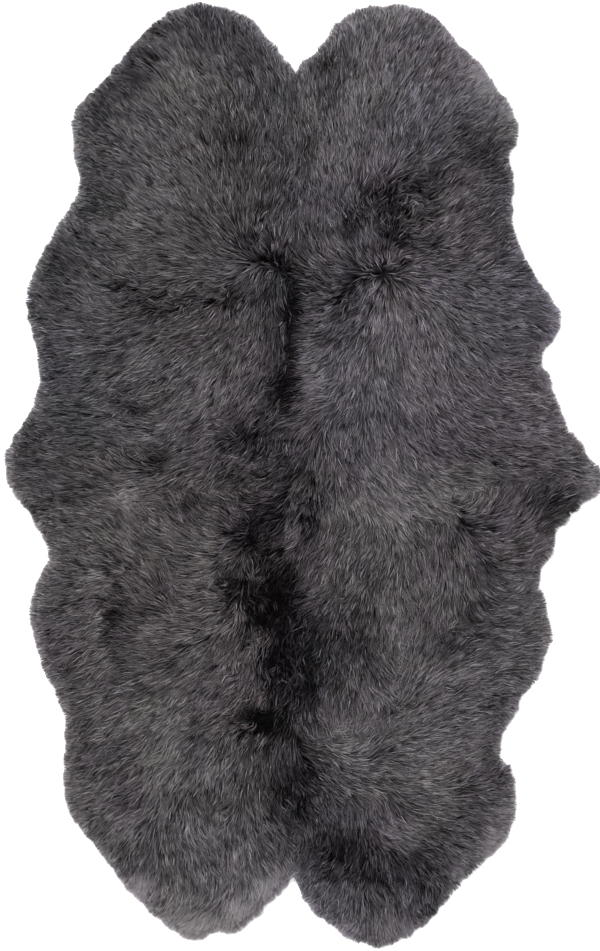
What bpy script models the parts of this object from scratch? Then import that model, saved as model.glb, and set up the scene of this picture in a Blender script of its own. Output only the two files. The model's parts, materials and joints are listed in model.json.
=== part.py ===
"""A rug of four sheepskins, laid flat: four pelts with their wool on, sewn edge to edge.

Metres, +Z up. +Y points to the head end and +X to the right, seen from above. The origin is on
the floor under the rug's middle. Each pelt is one slab of standing wool with a flat underside.
Its rim is rounded and set with pointed locks, its top is lumpy, and it sinks into a valley at
each seam and into the hollows where the wool parts.
"""

import math
import random

import bmesh
import bpy
import numpy as np
from mathutils import Vector, noise
from mathutils.geometry import delaunay_2d_cdt

# Driving sizes, in metres
RUG_LENGTH = 1.800  # head to tail, over the wool
RUG_WIDTH = 1.134  # side to side, over the wool
PILE_HEIGHT = 0.046  # floor to the top of the combed wool

# Rim: the wool rolls over the edge of the hide and stands out in locks
RIM_INSET = 0.007  # the rim's line behind the reach of the locks
SKIRT_HEIGHT = 0.009
SHOULDER_SHARE = 0.62  # of the wool's height, where the rim turns inwards
HIDE_INSET = 0.011  # the flat underside, behind the rim's line
SHOULDER_INSET = 0.004
TOP_INSET = 0.016
RIM_DROP = 0.013
RIM_SOFTNESS = 0.032

LOCK_WIDTH = 0.0110
LOCK_PARTING = 0.0063
LOCK_SHORTEST = 0.008
LOCK_LONGEST = 0.016
LOCK_LEAN = 0.005
LOCK_TIP_LOWEST = 0.0035
LOCK_TIP_HIGHEST = 0.0075
CORNER_REACH = 0.050  # near a seam's end the rim straightens and its locks shorten
LEAST_FREEDOM = 0.3  # closer to a seam's end than this share, no lock is drawn out

# Seams and top
SEAM_GAP = 0.0003
SEAM_STEP = 0.0225
TOP_STEP = 0.0205
TOP_JITTER = 0.005
SWELL_SIZE = 0.260
SWELL_HEIGHT = 0.004
TUFT_SIZE = 0.075
TUFT_HEIGHT = 0.009
CLUMP_SIZE = 0.080  # a clump of wool, parted from its neighbours by a crease
CLUMP_CREASE = 0.005
CREASE_WIDTH = 0.35  # of a clump's size
SEED = 7

MM = 0.001
CURVE_STEPS = 24
CURVE_THINNING = 4  # every so many of the curve's points serve to measure distance to a rim
POINT_MERGE = 1e-7

# Each rim runs anticlockwise along the plan, seen from above: x, y in millimetres.
UPPER_LEFT_RIM = [
    (-10, 765), (-50, 820), (-100, 872), (-170, 898), (-230, 894), (-270, 872),
    (-320, 822), (-365, 765), (-425, 700), (-435, 648), (-420, 550), (-450, 495),
    (-515, 372), (-520, 318), (-495, 188), (-512, 128), (-560, 50), (-562, 14), (-548, -22),
]
LOWER_LEFT_RIM = [
    (-548, -22), (-518, -68), (-478, -145), (-510, -230), (-513, -285), (-494, -355),
    (-456, -435), (-448, -500), (-450, -570), (-440, -640), (-400, -695), (-352, -760),
    (-287, -832), (-230, -875), (-190, -887), (-165, -870), (-130, -873), (-96, -850),
    (-47, -805), (-14, -760),
]
LOWER_RIGHT_RIM = [
    (-14, -760), (22, -825), (68, -864), (144, -900), (197, -882), (243, -850),
    (327, -753), (370, -718), (403, -668), (409, -609), (399, -557), (378, -542),
    (386, -490), (418, -433), (456, -374), (477, -294), (454, -195), (488, -130),
    (486, -112), (535, -58), (567, -26), (562, -14),
]
UPPER_RIGHT_RIM = [
    (562, -14), (572, 0), (541, 50), (510, 90), (466, 200), (458, 232), (481, 262),
    (494, 310), (458, 363), (403, 468), (407, 570), (397, 605), (416, 662), (390, 717),
    (342, 786), (290, 833), (254, 877), (195, 896), (104, 887), (58, 849), (50, 828),
    (9, 791), (-10, 765),
]

# Seams, x, y in millimetres. The drop is how far the wool sinks into the valley over each.
CENTRE = (-18, -22)
SEAMS = {
    "upper_spine": {
        "points": [(-10, 765), (-4, 620), (-9, 468), (-18, 334), (-16, 144), CENTRE],
        "drop": 17, "width": 30,
    },
    "lower_spine": {
        "points": [CENTRE, (-18, -200), (-12, -390), (-7, -600), (-14, -760)],
        "drop": 18, "width": 34,
    },
    "left_cross": {
        "points": [(-548, -22), (-420, -24), (-287, -31), (-153, -31), CENTRE],
        "drop": 7, "width": 26,
    },
    "right_cross": {
        "points": [CENTRE, (75, -31), (190, -45), (294, -35), (418, -16), (562, -14)],
        "drop": 6, "width": 26,
    },
}

# Hollows where the wool parts, all in millimetres.
HOLLOW_COLUMNS = ("x", "y", "half_width", "half_length", "depth")
HOLLOWS = [
    (160, 535, 60, 34, 15),
    (-58, 415, 48, 24, 14),
    (-62, -230, 48, 95, 16),
    (-106, -466, 55, 28, 14),
    (-348, -252, 30, 50, 10),
    (-113, 633, 27, 22, 7),
    (52, 350, 65, 25, 7),
    (-325, 367, 30, 24, 8),
    (-277, 35, 30, 24, 8),
    (323, -94, 42, 28, 7),
    (494, -56, 40, 26, 8),
    (294, -323, 36, 26, 9),
    (75, -748, 80, 28, 9),
    (228, -736, 54, 30, 9),
    (361, 626, 36, 27, 6),
    (-111, -110, 40, 26, 8),
    (33, -313, 38, 65, 9),
    (365, -515, 28, 28, 6),
    (-355, 530, 28, 22, 6),
    (-62, 169, 30, 26, 6),
    (14, -85, 26, 38, 7),
]

# A pelt is its rim and then the seams back to the rim's start, each with the way it is run.
PELTS = {
    "pelt_upper_left": {
        "rim": UPPER_LEFT_RIM,
        "seams": [("left_cross", 1), ("upper_spine", -1)],
        "colour": (0.080, 0.076, 0.083),
    },
    "pelt_lower_left": {
        "rim": LOWER_LEFT_RIM,
        "seams": [("lower_spine", -1), ("left_cross", -1)],
        "colour": (0.076, 0.072, 0.077),
    },
    "pelt_lower_right": {
        "rim": LOWER_RIGHT_RIM,
        "seams": [("right_cross", -1), ("lower_spine", 1)],
        "colour": (0.081, 0.078, 0.082),
    },
    "pelt_upper_right": {
        "rim": UPPER_RIGHT_RIM,
        "seams": [("upper_spine", 1), ("right_cross", 1)],
        "colour": (0.083, 0.080, 0.086),
    },
}


def smooth_step(value):
    value = np.clip(value, 0.0, 1.0)
    return value * value * (3.0 - 2.0 * value)


def plan_scale():
    """Metres for each millimetre of the plan, across and along."""
    points = np.array([point for pelt in PELTS.values() for point in pelt["rim"]])
    reach = points.max(axis=0) - points.min(axis=0)
    return np.array([RUG_WIDTH, RUG_LENGTH]) / reach


def smooth_curve(points):
    """A dense smooth line through the plan's points, in metres."""
    knots = np.array(points, float) * plan_scale()
    first = 2 * knots[0] - knots[1]
    last = 2 * knots[-1] - knots[-2]
    knots = np.vstack([first, knots, last])
    line = []
    for before, start, end, after in zip(knots, knots[1:], knots[2:], knots[3:]):
        span = np.linalg.norm(end - start)
        into = (end - before) / (np.linalg.norm(start - before) + span) * span
        out = (after - start) / (np.linalg.norm(after - end) + span) * span
        for t in np.arange(CURVE_STEPS) / CURVE_STEPS:
            line.append(
                (2 * t**3 - 3 * t**2 + 1) * start
                + (t**3 - 2 * t**2 + t) * into
                + (3 * t**2 - 2 * t**3) * end
                + (t**3 - t**2) * out
            )
    return np.vstack([line, knots[-2]])


def points_along(line, distances):
    """Points at these distances along a line of many short steps."""
    steps = np.linalg.norm(np.diff(line, axis=0), axis=1)
    travelled = np.concatenate([[0.0], np.cumsum(steps)])
    x = np.interp(distances, travelled, line[:, 0])
    y = np.interp(distances, travelled, line[:, 1])
    return np.column_stack([x, y])


def length_of(line):
    return np.linalg.norm(np.diff(line, axis=0), axis=1).sum()


def rim_distances(length):
    """Where the rim's columns stand: a lock's two sides, then a parting, and so on."""
    pitch = LOCK_WIDTH + LOCK_PARTING
    count = int(length / pitch)
    stretch = length / (count * pitch)
    steps = np.tile([LOCK_PARTING, LOCK_WIDTH], count) * stretch
    return np.concatenate([[0.0], np.cumsum(steps)])


def even_distances(length, step):
    return np.linspace(0.0, length, max(2, round(length / step)) + 1)


def distance_to(points, line):
    """The distance from each point to a line of straight steps."""
    start = line[:-1]
    run = line[1:] - start
    offset = points[:, None, :] - start[None, :, :]
    share = (offset * run).sum(axis=2) / (run * run).sum(axis=1)
    nearest = offset - np.clip(share, 0.0, 1.0)[:, :, None] * run
    return np.linalg.norm(nearest, axis=2).min(axis=1)


def is_inside(points, polygon):
    """Even-odd test of each point against a closed polygon."""
    inside = np.zeros(len(points), bool)
    for (x0, y0), (x1, y1) in zip(polygon, np.roll(polygon, -1, axis=0)):
        if y0 == y1:
            continue
        crosses = (points[:, 1] > y0) != (points[:, 1] > y1)
        x = x0 + (points[:, 1] - y0) / (y1 - y0) * (x1 - x0)
        inside ^= crosses & (points[:, 0] < x)
    return inside


def inward_normals(line, reach):
    """Unit normals to the left of a line's run, from the neighbours this many points each way."""
    run = np.roll(line, -reach, axis=0) - np.roll(line, reach, axis=0)
    run /= np.linalg.norm(run, axis=1)[:, None]
    return np.column_stack([-run[:, 1], run[:, 0]])


def over_valleys(points, seams):
    """The share of the wool's height that stands clear of the valleys at the seams."""
    valley = np.zeros(len(points))
    for name, line in seams.items():
        away = distance_to(points, line) / (SEAMS[name]["width"] * MM)
        valley = np.maximum(valley, SEAMS[name]["drop"] * MM * np.exp(-(away**2)))
    return 1.0 - valley / PILE_HEIGHT


def over_hollows(points):
    """The share of the wool's height that stands clear of the hollows."""
    share = np.ones(len(points))
    for row in HOLLOWS:
        hollow = dict(zip(HOLLOW_COLUMNS, row))
        away_x = (points[:, 0] / MM - hollow["x"]) / hollow["half_width"]
        away_y = (points[:, 1] / MM - hollow["y"]) / hollow["half_length"]
        dip = hollow["depth"] * MM * np.exp(-(away_x**2 + away_y**2))
        share *= 1.0 - dip / PILE_HEIGHT
    return share


def lumps(points):
    """How far the wool's swells, tufts and clumps stand over its mean height."""
    height = np.zeros(len(points))
    for size, tall in ((SWELL_SIZE, SWELL_HEIGHT), (TUFT_SIZE, TUFT_HEIGHT)):
        height += [tall * noise.noise(Vector((x / size, y / size, size))) for x, y in points]
    for i, (x, y) in enumerate(points):
        nearest = noise.voronoi(Vector((x / CLUMP_SIZE, y / CLUMP_SIZE, 0.0)))[0]
        crease = 1.0 - smooth_step((nearest[1] - nearest[0]) / CREASE_WIDTH)
        height[i] -= CLUMP_CREASE * crease
    return height


def wool_height(points, rims, seams):
    """The height of the wool over each point of the plan."""
    rim_distance = np.min([distance_to(points, line) for line in rims], axis=0)
    height = PILE_HEIGHT - RIM_DROP * np.exp(-((rim_distance / RIM_SOFTNESS) ** 2))
    return height * over_valleys(points, seams) * over_hollows(points) + lumps(points)


def freedom_along(distances):
    """0 at each end of a rim, where it meets a seam, and 1 past the corner's reach."""
    return smooth_step(np.minimum(distances, distances[-1] - distances) / CORNER_REACH)


def pelt_outline(rim, seams):
    """The pelt's closed plan: its points, how free each is of the seams, and the rim's count."""
    steps = np.linalg.norm(np.diff(rim, axis=0), axis=1)
    free = freedom_along(np.concatenate([[0.0], np.cumsum(steps)]))
    inset_rim = rim + RIM_INSET * free[:, None] * inward_normals(rim, 1)
    distances = rim_distances(length_of(inset_rim))
    loop = [points_along(inset_rim, distances)[:-1]]
    for line in seams:
        loop.append(line[:-1])
    closed = np.vstack(loop)
    rim_count = len(distances) - 1
    freedom = np.zeros(len(closed))
    freedom[:rim_count] = freedom_along(distances)[:-1]
    return closed, freedom, rim_count


def part_at_seams(closed, rim_count):
    """The outline with its seam edges half a gap further in, and its rim where it was."""
    run = np.roll(closed, -1, axis=0) - closed
    normal = np.column_stack([-run[:, 1], run[:, 0]]) / np.linalg.norm(run, axis=1)[:, None]
    shift = np.where(np.arange(len(closed)) < rim_count, 0.0, SEAM_GAP / 2)
    moved = closed.copy()
    for i in range(len(closed)):
        sides = np.array([normal[i - 1], normal[i]])
        shifts = np.array([shift[i - 1], shift[i]])
        if shifts.any():
            moved[i] += np.linalg.lstsq(sides, shifts, rcond=1e-3)[0]
    return moved


def top_points(ring):
    """Scattered points over the pelt's top, clear of its edge."""
    scatter = random.Random(SEED)
    low = ring.min(axis=0)
    high = ring.max(axis=0)
    row_step = TOP_STEP * math.sqrt(3) / 2
    points = []
    for row in range(int((high[1] - low[1]) / row_step) + 1):
        for column in range(int((high[0] - low[0]) / TOP_STEP) + 1):
            x = low[0] + (column + 0.5 * (row % 2)) * TOP_STEP
            y = low[1] + row * row_step
            turn = scatter.uniform(0.0, 2 * math.pi)
            away = scatter.uniform(0.0, TOP_JITTER)
            points.append((x + away * math.cos(turn), y + away * math.sin(turn)))
    points = np.array(points)
    points = points[is_inside(points, ring)]
    edge = np.vstack([ring, ring[:1]])
    return points[distance_to(points, edge) > TOP_STEP / 2]


def add_ring(bm, plan, heights):
    return [bm.verts.new((x, y, z)) for (x, y), z in zip(plan, heights)]


def join_rings(bm, lower, upper):
    faces = []
    count = len(lower)
    for i in range(count):
        after = (i + 1) % count
        faces.append(bm.faces.new((lower[i], lower[after], upper[after], upper[i])))
    return faces


def cover_ring(bm, ring, inner=(), way=1):
    """Covers a ring with triangles through the inner points, facing up or, with way -1, down."""
    verts = [*ring, *inner]
    plan = [vert.co.to_2d() for vert in verts]
    made = delaunay_2d_cdt(plan, [], [list(range(len(ring)))], 1, POINT_MERGE)
    origin = [sources[0] for sources in made[3]]
    for triangle in made[2]:
        bm.faces.new([verts[origin[corner]] for corner in triangle][::way])


def pull_locks(bm, bands, freedom, outward):
    """Draws every second face of the rim out into a pointed lock that hangs to the floor."""
    pull = random.Random(SEED + 1)
    for i in range(1, len(bands), 2):
        free = min(freedom[i], freedom[i + 1])
        if free < LEAST_FREEDOM:
            continue
        tip = bmesh.ops.poke(bm, faces=[bands[i]])["verts"][0]
        direction = outward[i]
        reach = pull.uniform(LOCK_SHORTEST, LOCK_LONGEST) * free
        lean = pull.uniform(-LOCK_LEAN, LOCK_LEAN) * free
        tip.co.x += direction[0] * reach - direction[1] * lean
        tip.co.y += direction[1] * reach + direction[0] * lean
        tip.co.z = pull.uniform(LOCK_TIP_LOWEST, LOCK_TIP_HIGHEST)


def wool_material(name, colour):
    material = bpy.data.materials.new(name)
    material.use_nodes = True
    shader = material.node_tree.nodes["Principled BSDF"]
    shader.inputs["Base Color"].default_value = (*colour, 1.0)
    shader.inputs["Roughness"].default_value = 0.9
    shader.inputs["Metallic"].default_value = 0.0
    return material


def build_pelt(name, pelt, rims, seams):
    own_seams = [seams[key][::way] for key, way in pelt["seams"]]
    closed, freedom, rim_count = pelt_outline(smooth_curve(pelt["rim"]), own_seams)
    closed = part_at_seams(closed, rim_count)
    inward = inward_normals(closed, 2) * freedom[:, None]

    top_ring = closed + TOP_INSET * inward
    top_heights = wool_height(top_ring, rims, seams)
    inner = top_points(top_ring)
    inner_heights = wool_height(inner, rims, seams)

    bm = bmesh.new()
    hide = add_ring(bm, closed + HIDE_INSET * inward, np.zeros(len(closed)))
    skirt = add_ring(bm, closed, np.full(len(closed), SKIRT_HEIGHT))
    shoulder = add_ring(bm, closed + SHOULDER_INSET * inward, SHOULDER_SHARE * top_heights)
    top = add_ring(bm, top_ring, top_heights)
    join_rings(bm, hide, skirt)
    bands = join_rings(bm, skirt, shoulder)
    join_rings(bm, shoulder, top)
    cover_ring(bm, hide, way=-1)
    cover_ring(bm, top, add_ring(bm, inner, inner_heights))
    outward = -inward_normals(closed, 2)
    pull_locks(bm, bands[:rim_count], freedom, outward)

    mesh = bpy.data.meshes.new(name)
    bm.to_mesh(mesh)
    bm.free()
    mesh.shade_smooth()
    mesh.materials.append(wool_material(name + "_wool", pelt["colour"]))
    bpy.context.scene.collection.objects.link(bpy.data.objects.new(name, mesh))


def main():
    for old in list(bpy.data.objects):
        bpy.data.objects.remove(old)
    seams = {}
    for name, seam in SEAMS.items():
        line = smooth_curve(seam["points"])
        seams[name] = points_along(line, even_distances(length_of(line), SEAM_STEP))
    rims = [smooth_curve(pelt["rim"])[::CURVE_THINNING] for pelt in PELTS.values()]
    for name, pelt in PELTS.items():
        build_pelt(name, pelt, rims, seams)


main()
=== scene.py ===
"""Looks of the sheepskin rug: combed wool on four pelts, their hides, the floor, light and camera.

Metres, in the frame of the solids. The wool is made of wisps, thin tapered ribbons of a few
faces, which start on a dark underwool and end at the height of the solids' lumpy top. The
underwool's near-black colour and the wisps' darkening toward the root are painted shade.

Three tables say how the wool lies, stands, shades and tints from place to place. They are not
all judged by eye. About half of the comb strokes follow streak directions measured in the
photograph, the tint places follow its measured hues, and most zones follow the measured
difference in brightness between it and earlier renders.
"""

import json
import math

import bmesh
import bpy
import numpy as np
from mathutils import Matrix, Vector
from mathutils.bvhtree import BVHTree
from mathutils.geometry import delaunay_2d_cdt

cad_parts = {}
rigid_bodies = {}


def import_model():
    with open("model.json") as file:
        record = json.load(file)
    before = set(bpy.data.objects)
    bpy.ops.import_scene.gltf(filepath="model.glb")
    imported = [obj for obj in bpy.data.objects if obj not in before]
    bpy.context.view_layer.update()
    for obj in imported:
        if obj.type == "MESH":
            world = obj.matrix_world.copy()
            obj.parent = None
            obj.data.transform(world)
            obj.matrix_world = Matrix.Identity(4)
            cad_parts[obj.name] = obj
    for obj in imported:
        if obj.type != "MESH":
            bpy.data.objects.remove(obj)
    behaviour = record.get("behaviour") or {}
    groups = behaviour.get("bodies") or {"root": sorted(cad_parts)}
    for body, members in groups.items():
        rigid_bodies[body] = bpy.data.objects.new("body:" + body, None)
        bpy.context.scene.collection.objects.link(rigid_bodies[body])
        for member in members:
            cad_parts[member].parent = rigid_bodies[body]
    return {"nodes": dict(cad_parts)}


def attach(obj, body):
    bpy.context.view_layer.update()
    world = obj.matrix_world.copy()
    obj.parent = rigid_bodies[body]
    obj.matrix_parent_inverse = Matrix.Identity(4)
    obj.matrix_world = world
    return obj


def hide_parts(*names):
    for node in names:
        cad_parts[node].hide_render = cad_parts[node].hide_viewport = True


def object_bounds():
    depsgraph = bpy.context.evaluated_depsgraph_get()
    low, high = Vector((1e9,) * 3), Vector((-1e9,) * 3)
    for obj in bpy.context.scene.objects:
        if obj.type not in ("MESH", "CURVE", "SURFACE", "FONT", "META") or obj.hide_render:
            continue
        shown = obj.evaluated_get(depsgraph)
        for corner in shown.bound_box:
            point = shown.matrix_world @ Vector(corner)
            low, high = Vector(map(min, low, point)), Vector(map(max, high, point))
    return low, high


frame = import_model()
cad_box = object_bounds()

SEED = 11

# The photograph looks straight down on the rug
PHOTO_WIDTH = 600
PHOTO_HEIGHT = 951
ORIGIN_PIXEL = np.array([300.5, 475.5])  # the pixel over the frame's origin
PIXEL = 1.800 / 945  # the rug is 1.800 m long over 945 pixels

# Grid over the plan, on which heights and distances are kept
GRID_STEP = 0.004
GRID_MARGIN = 0.050
SKIRT_HEIGHT = 0.009  # the level of the widest line round each solid
LEVEL_SLACK = 0.00005
CAST_FROM = 0.2
CHUNK = 4000

# Underwool: the dense wool that the wisps stand on. Its near-black colour is painted shade for the depth of
# the wool, where little light reaches
UNDERWOOL_SHARE = 0.5  # of the wool's height
UNDERWOOL_INSET = 0.012
UNDERWOOL_STEP = 0.012
UNDERWOOL_FOOT = 0.003
UNDERWOOL_LUMPS = (0.0015, 0.02)

# Wool
CLUMP_SIZE = 0.0095
CLUMP_TABLE = 64  # the clumps' random values repeat after this many clumps each way
CLUMP_HASH = (7, 193)
CLUMP_JITTER = (0.1, 0.9)  # where in its cell a clump's middle lies
NOISE_TABLE = 61  # the smooth noise repeats after this many lumps each way
STROKE_SOFTNESS = 0.016
LAY_WAVER = ((0.16, 0.045), (0.20, 0.016))  # amount and size of the lay's slow turns
STAND_WAVER_SIZE = 0.019
RIM_TURN = 0.45  # how far the wool at the rim turns to point straight out
RIM_TURN_REACH = 0.016
OVERHANG = (0.0098, 0.0145)  # how far single wisps hang over the rim, least and most
CLUMP_OVERHANG = (0.011, 0.020)
RIM_SWELL = 0.0050  # how far the rim swells out and in, and over what length
RIM_SWELL_SIZE = 0.015
SEAM_OVERHANG = (0.001, 0.006)  # and over the pelt beside their own
SEAM_FLOW = 0.040  # further still where the wool beside lies the same way
FLOW_AGREES = (0.5, 0.9)
# Wedges between the pelts that no wisp enters: apex in pixels, way (down the picture is 1),
# length and half width at the far end in pixels
NOTCHES = ((293.0, 876.0, 1, 22.0, 9.0), (295.5, 72.0, -1, 22.0, 9.0))
REACH_STEPS = 13
TIP_LOWEST = 0.003
TIP_HIGHEST = 0.008
WAVE_SIZE = 0.012  # the crimp, in which wisps near one another bend the same way
WAVE_REACH = 0.0016
CALM_RIM = 0.030  # the crimp fades over this distance from the rim
PARTING_AGREEMENT = 0.45  # below this the comb strokes part, and the clumps fall at random
PARTING_TURN = 2.2
PARTING_SHORTER = 0.35
STAND_TURN = 2.0  # how far standing wool turns off the comb strokes
STAND_SHORTER = 0.30
STAND_CURL = 0.8
RIM_GATHER = 0.30  # share of the gathering left at the rim
STAND_GATHER = 0.40
STAND_STRAY = 0.16
CLUMP_TURN = 0.23  # how far each clump turns off the lay
STAND_CLUMP_TURN = 0.5
CLUMP_BEND = 0.0014  # how far the middle of each clump bows out to its side
STAND_BEND = 0.0045
STAND_WIDTH = 0.8  # share by which standing wisps are wider
STAND_TONE = (-0.22, 0.62)
STAND_LUMPS = (0.12, 0.06)  # amount and size of the wool's own ups and downs in standing
STAND_MOST = 0.9
LENGTH_LUMPS = (0.18, 0.030)
CLUMP_LENGTH = (0.85, 1.18)  # shares of a coat's length, from clump to clump
OWN_LENGTH = (0.8, 1.15)  # and from wisp to wisp
OWN_GATHER = (0.7, 1.2)  # how far a wisp's tip is drawn to its clump's
CLUMP_GATHER = (0.6, 1.3)
GATHER_MOST = 0.95
CALM_LEAST = 0.1
OWN_BEND = 0.0010
OWN_LIFT = 0.0012
OWN_WIDTH = (0.65, 1.35)
TONE_READ_AT = 0.6  # how far along a wisp its place in the zones is read

# The wool's tone runs from 0 to TONE_TOP, and TONE_SHADES says by how much it changes the colour
TONE_TOP = 1.3
TONE_SHADES = ((0.0, 0.02), (0.25, 0.21), (0.5, 0.55), (0.75, 1.2), (1.0, 2.15), (TONE_TOP, 3.8))
TONE_LUMPS = ((0.055, 0.012), (0.08, 0.024), (0.03, 0.048))  # amount, size
CLUMP_TONE = 0.075
OWN_TONE = 0.23
# Painted light: wool near the rim is made paler, for the light that shows through the thin wool at the edge
RIM_PAINTED_LIGHT = 0.36
RIM_PAINTED_LIGHT_REACH = 0.009
WOOL_GLOSS = 0.15
# Painted shade along each wisp: darkest at the root, deep in the wool where little light reaches, lightest
# at the tip
ROOT_PAINTED_SHADES = ((0.0, 0.10), (0.4, 0.42), (0.75, 0.92), (1.0, 1.2))  # from root to tip
FIBRE_SHADES = ((0.3, 0.7), (0.7, 1.15))
FIBRES_ACROSS = 5.0  # streaks across a wisp
FIBRES_ALONG = 1.5
FIBRE_SHIFTS = (97.0, 61.0)  # how far tone and warmth move a wisp through the noise
BASE_COLOUR = (0.0464, 0.0420, 0.0466)
WARM_SHIFT = (0.026, 0.022, -0.072)  # shares by which a warmth of 1 changes red, green and blue
ROSY_SHIFT = (0.026, -0.052, 0.024)
WARMTH_RANGE = (-1.8, 1.8)
ROSINESS_RANGE = (-1.2, 2.0)
TINT_SCATTER = 0.45
TINT_SOFTNESS = 0.030
TINT_LUMPS = (0.4, 0.028)
# Classes: each tone, warmth and rosiness together have one square of the bake map
BAKE_TONES = 20
BAKE_WARMTHS = 4
BAKE_ROSINESSES = 4
BAKE_EDGE = 0.06

# Each coat's wisps. Steps are places along a wisp from its root to its tip: there are its
# points, with their shares of the wool's height and of the width. Depth is how much a
# zone's tone counts, painted shade and light included; it is largest for the undercoat, so
# the painted shade in standing wool falls deepest there.
COATS = {
    "undercoat": {
        "per_pelt": 20000,
        "steps": (0.0, 0.45, 1.0),
        "rise": (0.45, 0.80, 0.90),
        "widths": (0.0, 1.0, 0.0),
        "length": 0.028,
        "width": 0.0034,
        "roll": 0.7,
        "gather": 0.2,
        "stray": 0.20,
        # lower than the other coats: painted shade in the gaps between the locks
        "tone": 0.40,
        "depth": 1.65,
        "lift": 0.0020,
    },
    "topcoat": {
        "per_pelt": 33000,
        "steps": (0.0, 0.35, 0.72, 1.0),
        "rise": (0.55, 0.88, 0.98, 1.0),
        "widths": (0.0, 1.0, 0.8, 0.0),
        "length": 0.039,
        "width": 0.0016,
        "roll": 0.8,
        "gather": 0.45,
        "stray": 0.20,
        "tone": 0.594,
        "depth": 1.18,
        "lift": 0.0028,
    },
    "guard_hairs": {
        "per_pelt": 30000,
        "steps": (0.0, 0.55, 1.0),
        "rise": (0.70, 1.0, 1.02),
        "widths": (0.0, 1.0, 0.0),
        "length": 0.039,
        "width": 0.00115,
        "roll": 0.5,
        "gather": 0.35,
        "stray": 0.22,
        "tone": 0.678,
        "depth": 1.12,
        "lift": 0.0040,
    },
}
RIM_WISPS = 3000  # for each metre of the rug's rim
RIM_STEPS = (0.0, 0.5, 1.0)
RIM_WIDTH = 0.0017
RIM_LOCK = 0.008  # the size of the rim's small locks
RIM_POINT = 0.0018  # how far they reach out
RIM_SLANT = 0.003  # and lean aside
RIM_OWN_SLANT = 0.001
RIM_ROOT_INSET = 0.004  # the roots' height is read this far inside the underwool's edge
RIM_HIGH_SHORTER = 0.3  # share by which the highest rim wisps are shorter
RIM_TIP_RISE = 0.012
RIM_ROLL = 0.9
# The rim wisps' tone, raised partly as painted light for the pale rim
RIM_WISP_TONE_AND_LIGHT = 0.64
RIM_DEPTH = 1.18
RIM_BULGE = (0.0, 0.004, 0.0)
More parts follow.
